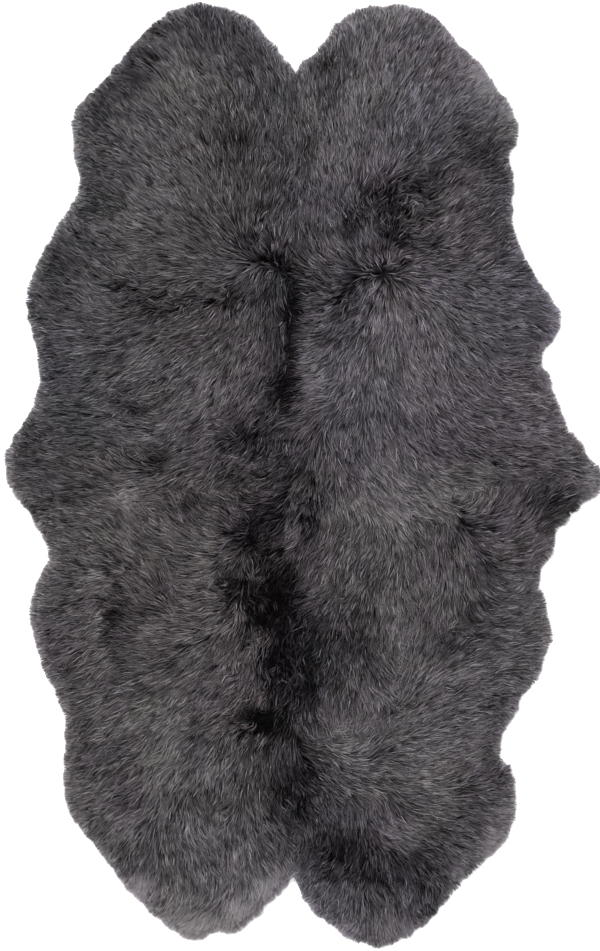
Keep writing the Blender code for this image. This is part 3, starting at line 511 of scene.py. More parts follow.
    (262, 405, 6, 8, 0.0, 0.08), (284, 285, 6, 12, 0.0, 0.16), (303, 287, 6, 12, 0.0, -0.15),
    (270, 287, 6, 10, 0.0, -0.12), (215, 905, 30, 10, 0.0, -0.24), (246, 888, 14, 10, 0.0, -0.22),
    (160, 900, 16, 9, 0.0, -0.15), (232, 922, 8, 9, 0.0, -0.12), (370, 14, 10, 9, 0.0, -0.15),
    (400, 12, 13, 8, 0.0, -0.06), (452, 52, 9, 8, 0.0, -0.11), (487, 93, 9, 9, 0.0, -0.18),
    (470, 93, 9, 9, 0.0, -0.07), (160, 151, 13, 9, 0.0, -0.10), (390, 331, 9, 8, 0.0, -0.11),
    (391, 311, 8, 8, 0.0, -0.07), (470, 311, 8, 8, 0.0, -0.07), (530, 431, 8, 8, 0.0, -0.10),
    (415, 490, 14, 8, 0.0, -0.10), (370, 492, 9, 8, 0.0, -0.07), (360, 511, 13, 8, 0.0, -0.07),
    (90, 540, 8, 14, 0.0, -0.07), (378, 250, 13, 8, 0.0, -0.07), (350, 591, 8, 8, 0.0, -0.09),
    (391, 611, 8, 8, 0.0, -0.07), (350, 731, 8, 8, 0.0, -0.11), (410, 751, 8, 8, 0.0, -0.08),
    (150, 771, 8, 8, 0.0, -0.09), (72, 796, 9, 12, 0.0, -0.11), (130, 111, 8, 8, 0.0, -0.07),
    (180, 58, 12, 12, 0.0, -0.07), (390, 72, 8, 8, 0.0, -0.07), (340, 371, 13, 8, 0.0, -0.07),
    (170, 371, 8, 8, 0.0, -0.07), (470, 868, 8, 8, 0.0, -0.08), (510, 810, 7, 8, 0.0, -0.08),
    (250, 571, 7, 7, 0.0, 0.08), (490, 852, 7, 7, 0.0, -0.09), (70, 600, 9, 14, 0.0, -0.05),
    (273, 231, 9, 8, 0.0, -0.11), (230, 310, 8, 8, 0.0, -0.10), (290, 309, 5, 8, 0.0, 0.10),
    (550, 550, 8, 8, 0.0, 0.11), (290, 200, 9, 14, 0.0, -0.09), (410, 172, 8, 8, 0.0, -0.09),
    (388, 191, 12, 8, 0.0, -0.09), (350, 210, 8, 8, 0.0, -0.09), (131, 290, 8, 8, 0.0, -0.09),
    (170, 290, 8, 8, 0.0, -0.09), (250, 732, 8, 8, 0.0, -0.09), (210, 411, 8, 8, 0.0, 0.09),
    (390, 631, 8, 8, 0.0, 0.09), (510, 709, 7, 9, 0.0, 0.09), (500, 291, 13, 8, 0.0, 0.07),
    (332, 409, 8, 8, 0.0, 0.08),
]

# How the wool's hue leans: pixel x and y, warmth and rosiness. Warmth is yellowish above 0 and
# bluish below, rosiness is pinkish above 0 and greenish below, both in shares of a shift. The
# rows follow hues measured in the photograph at these places.
TINT_PLACES = [
    (150, 30, 0.1, -0.1), (210, 15, -0.7, 0.3), (240, 30, -0.5, -0.3), (180, 50, 0.1, 0.0),
    (185, 88, 0.9, -0.2), (205, 95, 0.8, -0.2), (120, 80, -0.4, 0.2), (85, 120, 0.0, -0.5),
    (145, 130, 0.1, -0.2), (200, 142, 0.7, 0.3), (240, 160, 0.6, 0.0), (280, 90, -0.4, -0.6),
    (280, 140, 0.1, 0.0), (100, 195, -0.1, -0.6), (130, 180, 0.1, -0.1), (160, 212, 0.4, -0.1),
    (200, 220, 0.9, -0.2), (180, 255, 0.8, -0.1), (235, 225, 0.5, 0.0), (265, 256, 0.0, 1.0),
    (150, 282, 0.4, 0.0), (80, 270, -0.2, -0.5), (60, 290, -0.5, -0.4), (130, 310, 0.1, 0.0),
    (210, 315, 0.8, 0.6), (280, 290, -0.3, -0.4), (215, 352, 0.6, 0.3), (150, 370, 0.0, -0.1),
    (60, 370, -1.0, -0.3), (80, 410, -0.5, -0.6), (40, 430, 0.0, -0.4), (120, 400, 0.0, 0.0),
    (200, 388, 0.1, 0.2), (278, 382, -0.1, 1.2), (240, 440, -0.1, 0.9), (150, 440, 0.4, 0.0),
    (200, 430, 0.1, 0.5), (272, 435, 0.0, 0.5), (30, 470, 0.1, -0.2), (60, 480, 0.2, 0.3),
    (105, 490, 1.1, 0.4), (150, 500, 1.0, 0.4), (190, 502, 1.0, 0.9), (232, 490, 0.9, 0.5),
    (250, 532, 0.2, 1.6), (70, 520, 0.6, 0.2), (100, 540, 0.9, 0.2), (150, 560, 1.0, 0.4),
    (205, 560, 1.0, 0.4), (60, 600, 0.4, 0.0), (170, 590, 1.0, 1.0), (268, 600, 1.6, 1.8),
    (265, 562, 1.1, 1.0), (120, 602, 1.0, 0.8), (60, 640, 0.3, 0.8), (92, 650, 0.9, 0.4),
    (150, 650, 0.9, 0.4), (200, 640, 1.0, 0.4), (248, 640, 1.1, 0.8), (282, 665, -0.4, 1.7),
    (100, 700, 0.6, 0.2), (150, 722, 0.9, 0.1), (205, 700, 0.5, 0.6), (252, 715, 1.3, 1.3),
    (90, 740, 0.5, 0.4), (122, 770, 0.6, 0.5), (85, 800, 0.7, 0.2), (160, 760, 0.8, -0.1),
    (130, 812, 0.3, 0.5), (200, 772, 0.2, 0.0), (240, 755, 0.6, 0.0), (195, 830, -0.3, 0.0),
    (242, 802, 0.5, 0.0), (160, 850, 0.1, 0.0), (112, 850, 0.2, -0.3), (150, 890, 0.4, 0.2),
    (200, 930, 0.8, -0.1), (250, 882, 0.3, 0.0), (270, 850, -0.2, 0.1), (290, 250, 0.0, 0.5),
    (292, 320, -0.1, 0.9), (291, 420, 0.0, 0.8), (304, 530, -0.1, 0.9), (303, 620, -0.6, 1.0),
    (306, 690, -0.6, 0.8), (305, 780, 0.0, 0.9), (296, 830, -0.9, 0.3), (330, 60, 0.1, 0.1),
    (345, 45, -0.3, 0.3), (380, 30, 0.1, 0.0), (400, 52, -0.3, 0.4), (440, 70, -0.3, 0.4),
    (430, 112, -1.1, 0.2), (472, 120, -0.5, 0.1), (400, 130, -0.7, 0.2), (360, 100, 0.2, 0.0),
    (340, 140, 0.4, 0.3), (310, 200, -0.6, 0.4), (350, 222, -0.6, 0.4), (388, 182, -0.1, 1.3),
    (390, 260, -0.1, 1.2), (420, 200, 0.1, 0.2), (450, 200, 0.2, 0.5), (480, 162, -0.1, 0.9),
    (505, 140, 0.1, -0.2), (502, 210, -0.5, 0.3), (468, 232, 0.2, 0.7), (430, 250, 0.0, 0.4),
    (520, 270, -1.0, 0.2), (535, 310, -1.2, 0.3), (492, 340, -0.8, 0.3), (442, 300, -0.5, 0.4),
    (402, 290, 0.3, 0.5), (350, 300, -0.7, 0.4), (330, 350, -0.6, 0.5), (380, 342, -0.2, 0.6),
    (430, 352, 0.1, 0.7), (450, 390, -0.1, 0.9), (358, 412, -0.8, 0.4), (402, 432, -0.7, 0.6),
    (450, 446, -0.3, 1.4), (490, 430, -0.2, 0.8), (530, 390, 0.1, 0.5), (542, 462, 0.2, 0.8),
    (572, 480, 0.1, 0.2), (350, 452, -0.7, 0.5), (330, 475, 0.3, 0.6), (400, 482, 0.2, 0.1),
    (470, 476, 0.8, 0.3), (340, 522, 0.8, 0.0), (400, 542, 0.8, 0.1), (452, 502, 0.7, 0.0),
    (440, 560, 0.4, 0.5), (480, 530, 0.3, 1.0), (520, 552, 0.5, 0.8), (530, 602, 0.0, -0.2),
    (400, 602, 0.7, 0.0), (360, 600, 0.6, 0.1), (330, 622, 0.2, 0.5), (440, 622, 0.4, 0.4),
    (482, 642, 0.0, 0.0), (530, 660, -0.2, -0.1), (500, 700, -0.1, 0.0), (400, 660, 0.4, 0.3),
    (320, 650, -0.2, -0.2), (350, 690, 0.3, 0.7), (430, 700, 0.2, 0.5), (490, 722, -0.6, 0.1),
    (330, 740, 0.3, 0.0), (420, 740, 0.1, 0.0), (460, 752, 0.5, 0.3), (400, 780, 0.3, 0.0),
    (500, 790, 0.2, 0.4), (430, 802, 0.6, 0.1), (350, 780, 0.3, 0.0), (340, 822, -0.7, 0.5),
    (368, 842, -0.4, 1.2), (310, 880, -0.9, 0.2), (345, 900, -0.8, 0.4), (400, 882, -0.7, 0.4),
    (440, 860, -0.3, 0.1), (380, 922, 0.1, 0.4), (430, 830, 0.5, 0.3),
]

# Hides
HIDE_THICKNESS = 0.0022

# Light and camera
LENS = 100.0
SENSOR = 36.0
SEEN_HEIGHT = 0.03  # the level in the wool at which the picture has its scale
FLOOR_SIZE = 12.0
FLOOR_DROP = 0.0004
ROOM_LIGHT = 2.0
# Each softbox: place, size and power
SOFTBOXES = {
    "softbox_head": ((-0.9, 2.2, 3.0), (2.5, 1.6), 110.0),
    "softbox_side": ((-2.6, -0.4, 2.2), (1.6, 2.6), 40.0),
}


def from_photo(pixels):
    """Places on the plan, in metres, for rows of pixel x and y."""
    offset = (np.asarray(pixels, float) - ORIGIN_PIXEL) * PIXEL
    return offset * (1.0, -1.0)


def share_of(limits, values):
    """How far each value lies from the lower limit to the upper."""
    return (values - limits[0]) / (limits[1] - limits[0])


def smooth_step(value):
    """0 to 1 with level ends."""
    value = np.clip(value, 0.0, 1.0)
    return value * value * (3.0 - 2.0 * value)


# ---------------------------------------------------------------- the plan


def merged(node):
    """The solid's mesh with its doubled vertices made one."""
    bm = bmesh.new()
    bm.from_mesh(node.data)
    bmesh.ops.remove_doubles(bm, verts=bm.verts, dist=LEVEL_SLACK / 5)
    return bm


def signed_area(polygon):
    """A polygon's area, above 0 if it runs anticlockwise."""
    x, y = polygon.T
    return 0.5 * (np.dot(x, np.roll(y, -1)) - np.dot(y, np.roll(x, -1)))


def level_line(bm, height):
    """The line of edges round the solid at this height, anticlockwise from above.

    It is closed at the floor. Higher up it is open where a seam's wall runs straight past.
    """
    def level(vert):
        return abs(vert.co.z - height) < LEVEL_SLACK

    beside = {}
    for edge in bm.edges:
        if not all(level(vert) for vert in edge.verts):
            continue
        if all(level(vert) for face in edge.link_faces for vert in face.verts):
            continue
        for vert in edge.verts:
            beside.setdefault(vert, []).append(edge.other_vert(vert))
    line = [min(beside, key=lambda vert: len(beside[vert]))]
    while len(line) < len(beside):
        line.append(next(vert for vert in beside[line[-1]] if vert not in line[-2:]))
    plan = np.array([vert.co.to_2d() for vert in line])
    return plan if signed_area(plan) > 0 else plan[::-1]


def closed_outline(rim, base):
    """The rim's line, closed along the seams with the points of the solid's base."""
    start = int(np.argmin(np.linalg.norm(base - rim[-1], axis=1)))
    base = np.roll(base, -start, axis=0)
    end = int(np.argmin(np.linalg.norm(base - rim[0], axis=1)))
    return np.vstack([rim, base[1:end]])


def distance_to(points, line):
    """The distance from each point to a line of straight steps."""
    start = line[:-1]
    run = line[1:] - start
    span = (run * run).sum(axis=1)
    found = []
    for chunk in np.array_split(points, max(1, len(points) // CHUNK)):
        offset = chunk[:, None, :] - start[None, :, :]
        share = np.clip((offset * run).sum(axis=2) / span, 0.0, 1.0)
        found.append(np.linalg.norm(offset - share[:, :, None] * run, axis=2).min(axis=1))
    return np.concatenate(found)


def is_inside(points, polygon):
    """Even-odd test of each point against a closed polygon."""
    inside = np.zeros(len(points), bool)
    for (x0, y0), (x1, y1) in zip(polygon, np.roll(polygon, -1, axis=0)):
        if y0 == y1:
            continue
        crosses = (points[:, 1] > y0) != (points[:, 1] > y1)
        x = x0 + (points[:, 1] - y0) / (y1 - y0) * (x1 - x0)
        inside ^= crosses & (points[:, 0] < x)
    return inside


def bridged(height):
    """The heights, with those in the narrow gaps between pelts taken from both sides."""
    for axis in (0, 1):
        before = np.roll(height, 1, axis)
        after = np.roll(height, -1, axis)
        gap = (height == 0.0) & (before > 0.0) & (after > 0.0)
        height = np.where(gap, (before + after) / 2, height)
    return height


class Plan:
    """Heights and rim distances over a square grid, read between its points."""

    def __init__(self, nodes):
        self.solids = {name: merged(node) for name, node in nodes.items()}
        self.bases = {name: level_line(bm, 0.0) for name, bm in self.solids.items()}
        self.rims = {name: level_line(bm, SKIRT_HEIGHT) for name, bm in self.solids.items()}
        self.outlines = {
            name: closed_outline(self.rims[name], base) for name, base in self.bases.items()
        }
        self.low = np.array(cad_box[0].to_2d()) - GRID_MARGIN
        high = np.array(cad_box[1].to_2d()) + GRID_MARGIN
        self.counts = np.ceil((high - self.low) / GRID_STEP).astype(int) + 1
        across = self.low[0] + GRID_STEP * np.arange(self.counts[0])
        along = self.low[1] + GRID_STEP * np.arange(self.counts[1])
        x, y = np.meshgrid(across, along, indexing="ij")
        points = np.column_stack([x.ravel(), y.ravel()])
        cast = self.cast_heights(points).reshape(self.counts)
        self.height = bridged(cast)
        away = np.min([distance_to(points, line) for line in self.rims.values()], axis=0)
        inside = np.any([is_inside(points, loop) for loop in self.outlines.values()], axis=0)
        inside |= (self.height > cast).ravel()
        self.rim_away = np.where(inside, away, -away).reshape(self.counts)
        slope = np.stack(np.gradient(self.rim_away, GRID_STEP), axis=-1)
        self.outward = -slope / np.maximum(np.linalg.norm(slope, axis=-1, keepdims=True), 1e-6)
        self.beside = {name: self.past(points, loop) for name, loop in self.outlines.items()}
        nearest = np.argmin([field.ravel() for field in self.beside.values()], axis=0)
        lay = np.zeros((len(points), 2))
        for k, name in enumerate(self.outlines):
            here = (nearest == k) & (self.height.ravel() > 0.0)
            lay[here] = unit(combed(name, points[here])[0])
        self.lay = lay.reshape(*self.counts, 2)

    def past(self, points, loop):
        """How far each point is past this closed line, below 0 inside it."""
        away = distance_to(points, np.vstack([loop, loop[:1]]))
        return np.where(is_inside(points, loop), -away, away).reshape(self.counts)

    def cast_heights(self, points):
        """The solids' top over each point, or 0 beside them."""
        trees = [BVHTree.FromBMesh(bm) for bm in self.solids.values()]
        down = Vector((0.0, 0.0, -1.0))
        heights = np.zeros(len(points))
        for i, (x, y) in enumerate(points):
            for tree in trees:
                hit = tree.ray_cast(Vector((x, y, CAST_FROM)), down)[0]
                if hit is not None:
                    heights[i] = max(heights[i], hit.z)
        return heights

    def read(self, field, points):
        """The field's values at these points."""
        at = (points - self.low) / GRID_STEP
        cell = np.clip(np.floor(at).astype(int), 0, self.counts - 2)
        share = np.clip(at - cell, 0.0, 1.0)
        i, j = cell.T
        fx, fy = share.T
        if field.ndim == 3:
            fx = fx[:, None]
            fy = fy[:, None]
        near = field[i, j] * (1 - fx) + field[i + 1, j] * fx
        far = field[i, j + 1] * (1 - fx) + field[i + 1, j + 1] * fx
        return near * (1 - fy) + far * fy


# ---------------------------------------------------------------- the wool's lay


def lumps(points, size, seed):
    """Smooth noise from -1 to 1 with lumps of this size."""
    table = np.random.default_rng(seed).uniform(-1.0, 1.0, (NOISE_TABLE, NOISE_TABLE))
    cell = np.floor(points / size).astype(int)
    fx, fy = smooth_step(points / size - cell).T
    i, j = cell.T % NOISE_TABLE
    after_i = (i + 1) % NOISE_TABLE
    after_j = (j + 1) % NOISE_TABLE
    near = table[i, j] * (1 - fx) + table[after_i, j] * fx
    far = table[i, after_j] * (1 - fx) + table[after_i, after_j] * fx
    return near * (1 - fy) + far * fy


def over_zones(points, column):
    """The sum of the zones' values in this column at each point."""
    total = np.zeros(len(points))
    for row in ZONES:
        zone = dict(zip(ZONE_COLUMNS, row))
        if not zone[column]:
            continue
        away = (points - from_photo([[zone["x"], zone["y"]]])[0]) / PIXEL
        away_x = away[:, 0] / zone["half_width"]
        away_y = away[:, 1] / zone["half_length"]
        total += zone[column] * np.exp(-(away_x**2 + away_y**2))
    return total


def blend(points, places, values, softness):
    """The rows of values at each point, each weighted by how near its place is."""
    found = []
    for chunk in np.array_split(points, max(1, len(points) // CHUNK)):
        away = ((chunk[:, None, :] - places[None, :, :]) ** 2).sum(axis=2)
        weight = (away + softness**2) ** -2
        found.append(weight @ values / weight.sum(axis=1)[:, None])
    return np.vstack(found)


def combed(pelt, points):
    """The angle in which the wool's tips point, and how far the comb strokes agree on it."""
    rows = np.array(COMBING[pelt], float)
    headings = unit(np.radians(rows[:, 2]))
    x, y = blend(points, from_photo(rows[:, :2]), headings, STROKE_SOFTNESS).T
    return np.arctan2(y, x), np.hypot(x, y)


def clumps(points):
    """Each point's clump: its middle and a number that picks its random values."""
    jitter = np.random.default_rng(SEED).uniform(*CLUMP_JITTER, (CLUMP_TABLE**2, 2))
    cell = np.floor(points / CLUMP_SIZE).astype(int)
    nearest = np.full(len(points), np.inf)
    middle = np.zeros((len(points), 2))
    number = np.zeros(len(points), int)
    for step_x in (-1, 0, 1):
        for step_y in (-1, 0, 1):
            near = cell + (step_x, step_y)
            key = (near[:, 0] * CLUMP_HASH[0] + near[:, 1] * CLUMP_HASH[1]) % CLUMP_TABLE**2
            centre = (near + jitter[key]) * CLUMP_SIZE
            away = ((points - centre) ** 2).sum(axis=1)
            closer = away < nearest
            nearest[closer] = away[closer]
            middle[closer] = centre[closer]
            number[closer] = key[closer]
    return middle, number


def clump_values(number, seed, low, high):
    """One random value for each clump, by its number."""
    return np.random.default_rng(seed).uniform(low, high, CLUMP_TABLE**2)[number]


def unit(angle):
    return np.column_stack([np.cos(angle), np.sin(angle)])


def scatter(plan, pelt, count, rng):
    """Roots spread evenly over a pelt, clear of the rim."""
    outline = plan.outlines[pelt]
    step = math.sqrt(signed_area(outline) / count)
    low = outline.min(axis=0)
    cells = np.ceil((outline.max(axis=0) - low) / step).astype(int)
    x, y = np.meshgrid(np.arange(cells[0]), np.arange(cells[1]), indexing="ij")
    points = np.column_stack([x.ravel(), y.ravel()]) + rng.uniform(0.0, 1.0, (x.size, 2))
    points = low + points * step
    points = points[is_inside(points, outline)]
    return points[plan.read(plan.rim_away, points) > UNDERWOOL_INSET]


def lay_angle(plan, pelt, roots, stand, number):
    """The angle of each wisp's lay: combed, less so where it stands, and outward at the rim."""
    angle, agreement = combed(pelt, roots)
    parting = 1.0 - np.minimum(agreement / PARTING_AGREEMENT, 1.0)
    slow, quick = LAY_WAVER
    angle += slow[0] * lumps(roots, slow[1], SEED + 1) + quick[0] * lumps(roots, quick[1], SEED + 2)
    angle += STAND_TURN * stand * lumps(roots, STAND_WAVER_SIZE, SEED + 16)
    heading = unit(angle)
    past_inset = np.maximum(plan.read(plan.rim_away, roots) - UNDERWOOL_INSET, 0.0)
    turn = RIM_TURN * np.exp(-past_inset / RIM_TURN_REACH)
    heading += turn[:, None] * plan.read(plan.outward, roots)
    most = CLUMP_TURN + STAND_CLUMP_TURN * stand + PARTING_TURN * parting
    clump_turn = clump_values(number, SEED + 3, -1.0, 1.0) * most
    return np.arctan2(heading[:, 1], heading[:, 0]) + clump_turn, parting


def into_notches(points):
    """How far each point is inside a notch's wedge, below 0 outside them."""
    inside = np.full(len(points), -1.0)
    for x, y, way, length, half_width in NOTCHES:
        aside, along = ((points - from_photo([[x, y]])[0]) * (1.0, -way)).T / PIXEL
        depth = half_width * along / length - np.abs(aside)
        within = (along > 0.0) & (along < length)
        inside = np.where(within, np.maximum(inside, depth * PIXEL), inside)
    return inside


def rim_swell(places):
    """How much further than its own overhang the wool hangs over the rim here."""
    return RIM_SWELL * lumps(places, RIM_SWELL_SIZE, SEED + 40)


def within_reach(plan, pelt, roots, tips, overhang, past_seam):
    """The tips, each drawn back to where its wisp first goes too far past the rim or a seam."""
    steps = np.linspace(0.0, 1.0, REACH_STEPS)
    heading = tips - roots
    heading /= np.linalg.norm(heading, axis=1)[:, None]
    past = []
    for step in steps:
        places = roots + (tips - roots) * step
        depth = plan.read(plan.rim_away, places)
        agreement = (plan.read(plan.lay, places) * heading).sum(axis=1)
        flow = np.clip(share_of(FLOW_AGREES, agreement), 0.0, 1.0) * SEAM_FLOW
        reach = overhang + rim_swell(places)
        beside = np.minimum(plan.read(plan.beside[pelt], places), depth)
        over = [-depth - reach, beside - past_seam - flow, into_notches(places)]
        past.append(np.max(over, axis=0))
    past = np.array(past)
    first = np.argmax(past > 0.0, axis=0)
    cut = np.flatnonzero(first > 0)
    after = past[first[cut], cut]
    before = past[first[cut] - 1, cut]
    share = np.ones(len(roots))
    share[cut] = steps[first[cut]] - steps[1] * after / (after - before)
    return roots + (tips - roots) * share[:, None]


def wool_tones(plan, places, number, stand, depth, rng):
    """Each wisp's change of tone for its place, its clump and itself."""
    # the zones' tone: painted shade where the wool stands or parts, and painted light and shade in patches,
    # beside the wool's own tone
    tone = depth * over_zones(places, "tone")
    for k, (amount, size) in enumerate(TONE_LUMPS):
        tone += amount * lumps(places, size, SEED + 20 + k)
    tone += clump_values(number, SEED + 12, -CLUMP_TONE, CLUMP_TONE)
    tone += stand * clump_values(number, SEED + 17, *STAND_TONE)
    # painted light: paler wool near the rim
    tone += RIM_PAINTED_LIGHT * np.exp(-np.maximum(plan.read(plan.rim_away, places), 0.0) / RIM_PAINTED_LIGHT_REACH)
    return tone + rng.normal(0.0, OWN_TONE, len(places))


def wool_tints(places, rng):
    """Each wisp's warmth and rosiness: those of its region, with changes of its own."""
    rows = np.array(TINT_PLACES, float)
    tints = blend(places, from_photo(rows[:, :2]), rows[:, 2:], TINT_SOFTNESS)
    for k in range(2):
        tints[:, k] += TINT_LUMPS[0] * lumps(places, TINT_LUMPS[1], SEED + 30 + k)
    return tints + rng.normal(0.0, TINT_SCATTER, tints.shape)


def lay_wisps(plan, pelt, coat, rng):
    """The points, width, roll, tone and tints of each wisp of a coat."""
    spec = COATS[coat]
    roots = scatter(plan, pelt, spec["per_pelt"], rng)
    count = len(roots)
    middle, number = clumps(roots)
    own_stand = STAND_LUMPS[0] * lumps(roots, STAND_LUMPS[1], SEED + 4)
    stand = np.clip(over_zones(roots, "stand") + own_stand, 0.0, STAND_MOST)
    angle, parting = lay_angle(plan, pelt, roots, stand, number)
    length = spec["length"] * (1.0 - STAND_SHORTER * stand) * (1.0 - PARTING_SHORTER * parting)
    length *= 1.0 + LENGTH_LUMPS[0] * lumps(roots, LENGTH_LUMPS[1], SEED + 5)
    length *= clump_values(number, SEED + 6, *CLUMP_LENGTH)

    clump_tip = within_reach(
        plan,
        pelt,
        middle,
        middle + unit(angle) * length[:, None],
        clump_values(number, SEED + 7, *CLUMP_OVERHANG),
        clump_values(number, SEED + 19, *SEAM_OVERHANG),
    )
    own_angle = angle + rng.normal(0.0, 1.0, count) * (spec["stray"] + STAND_STRAY * stand)
    own_tip = roots + unit(own_angle) * (length * rng.uniform(*OWN_LENGTH, count))[:, None]
    gather = spec["gather"] * rng.uniform(*OWN_GATHER, count)
    gather *= clump_values(number, SEED + 18, *CLUMP_GATHER)
    gather = np.minimum(gather + STAND_GATHER * stand, GATHER_MOST)
    past_inset = plan.read(plan.rim_away, roots) - UNDERWOOL_INSET
    calm = np.clip(past_inset / CALM_RIM, CALM_LEAST, 1.0)
    gather *= RIM_GATHER + (1.0 - RIM_GATHER) * calm
    own_tip = within_reach(
        plan, pelt, roots, own_tip, rng.uniform(*OVERHANG, count), rng.uniform(*SEAM_OVERHANG, count)
    )
    tips = own_tip + (clump_tip - own_tip) * gather[:, None]

    side = np.column_stack([-np.sin(own_angle), np.cos(own_angle)])
    curl = calm * (1.0 + STAND_CURL * stand)
    bend = rng.normal(0.0, OWN_BEND, count) * curl
    clump_bend = calm * (CLUMP_BEND + STAND_BEND * stand)
    bend += clump_values(number, SEED + 41, -1.0, 1.0) * clump_bend
    plans = []
    for step in spec["steps"]:
        place = roots + (tips - roots) * step
        offset = WAVE_REACH * curl * min(1.0, 2.0 * step) * lumps(place, WAVE_SIZE, SEED + 8)
        offset += bend * math.sin(math.pi * step)
        plans.append(place + side * offset[:, None])

    lift = clump_values(number, SEED + 9, -1.0, 1.0) * spec["lift"]
    lift += rng.normal(0.0, OWN_LIFT, count)
    lowest = rng.uniform(TIP_LOWEST, TIP_HIGHEST, count)
    points = []
    for place, share, step in zip(plans, spec["rise"], spec["steps"]):
        height = plan.read(plan.height, place) * share + lift * step
        points.append(np.column_stack([place, np.maximum(height, lowest * (1.2 - 0.2 * step))]))
    seen_at = roots + TONE_READ_AT * (tips - roots)
    return {
        "points": np.stack(points, axis=1),
        "steps": spec["steps"],
        "widths": spec["widths"],
        "side": side,
        "width": spec["width"] * rng.uniform(*OWN_WIDTH, count) * (1.0 + STAND_WIDTH * stand),
        "roll": rng.uniform(-spec["roll"], spec["roll"], count),
        "tone": spec["tone"] + wool_tones(plan, seen_at, number, stand, spec["depth"], rng),
        "tints": wool_tints(seen_at, rng),
    }


def lay_rim_wisps(plan, pelt, rng):
    """Wisps that stand out of the underwool's side, under the topcoat at the rim."""
    rim = plan.rims[pelt]
    steps = np.linalg.norm(np.diff(rim, axis=0), axis=1)
    marks = np.concatenate([[0.0], np.cumsum(steps)])
    count = int(marks[-1] * RIM_WISPS)
    at = np.sort(rng.uniform(0.0, marks[-1], count))
    line = np.column_stack([np.interp(at, marks, rim[:, k]) for k in (0, 1)])
    outward = plan.read(plan.outward, line)
    outward /= np.maximum(np.linalg.norm(outward, axis=1), 1e-6)[:, None]
    along = np.column_stack([-outward[:, 1], outward[:, 0]])
    _, number = clumps(line)
    level = rng.uniform(0.0, 1.0, count)
    inner = line - outward * (UNDERWOOL_INSET + RIM_ROOT_INSET)
    root_height = UNDERWOOL_FOOT + level * (
        plan.read(plan.height, inner) * UNDERWOOL_SHARE - UNDERWOOL_FOOT
    )
    roots = line - outward * UNDERWOOL_INSET
    reach = rng.uniform(*OVERHANG, count) * (1.0 - RIM_HIGH_SHORTER * level)
    reach += RIM_POINT * lumps(line, RIM_LOCK, SEED + 42) + rim_swell(line + outward * reach[:, None])
    slant = RIM_SLANT * lumps(line, RIM_LOCK, SEED + 43) + rng.normal(0.0, RIM_OWN_SLANT, count)
    tips = line + outward * reach[:, None] + along * slant[:, None]
    tips = within_reach(plan, pelt, roots, tips, reach + RIM_LOCK, np.full(count, RIM_LOCK))
    tip_height = rng.uniform(TIP_LOWEST, TIP_HIGHEST, count) + level * RIM_TIP_RISE
    points = []
    for step, up in zip(RIM_STEPS, RIM_BULGE):
        place = roots + (tips - roots) * step
        height = root_height + (tip_height - root_height) * step + up
        points.append(np.column_stack([place, height]))
    still = np.zeros(count)
    return {
        "points": np.stack(points, axis=1),
        "steps": RIM_STEPS,
        "widths": COATS["undercoat"]["widths"],
        "side": along,
        "width": RIM_WIDTH * rng.uniform(*OWN_WIDTH, count),
        "roll": rng.uniform(-RIM_ROLL, RIM_ROLL, count),
        # the rim wisps' tone includes painted light for the pale rim
        "tone": RIM_WISP_TONE_AND_LIGHT + wool_tones(plan, line, number, still, RIM_DEPTH, rng),
        "tints": wool_tints(line, rng),
    }


# ---------------------------------------------------------------- meshes


def add_object(name, mesh):
    obj = bpy.data.objects.new(name, mesh)
    bpy.context.scene.collection.objects.link(obj)
    return obj


def mesh_of(name, verts, triangles):
    """A mesh of triangles from arrays."""
    mesh = bpy.data.meshes.new(name)
    mesh.vertices.add(len(verts))
    mesh.vertices.foreach_set("co", verts.astype(np.float32).ravel())
    mesh.loops.add(triangles.size)
    mesh.loops.foreach_set("vertex_index", triangles.astype(np.int32).ravel())
    mesh.polygons.add(len(triangles))
    mesh.polygons.foreach_set("loop_start", np.arange(0, triangles.size, 3, dtype=np.int32))
    mesh.update(calc_edges=True)
    mesh.shade_smooth()
    return mesh


def classes(values, count):
    """Values from 0 to 1 put into equal classes, as whole numbers."""
    return np.clip((values * count).astype(int), 0, count - 1)


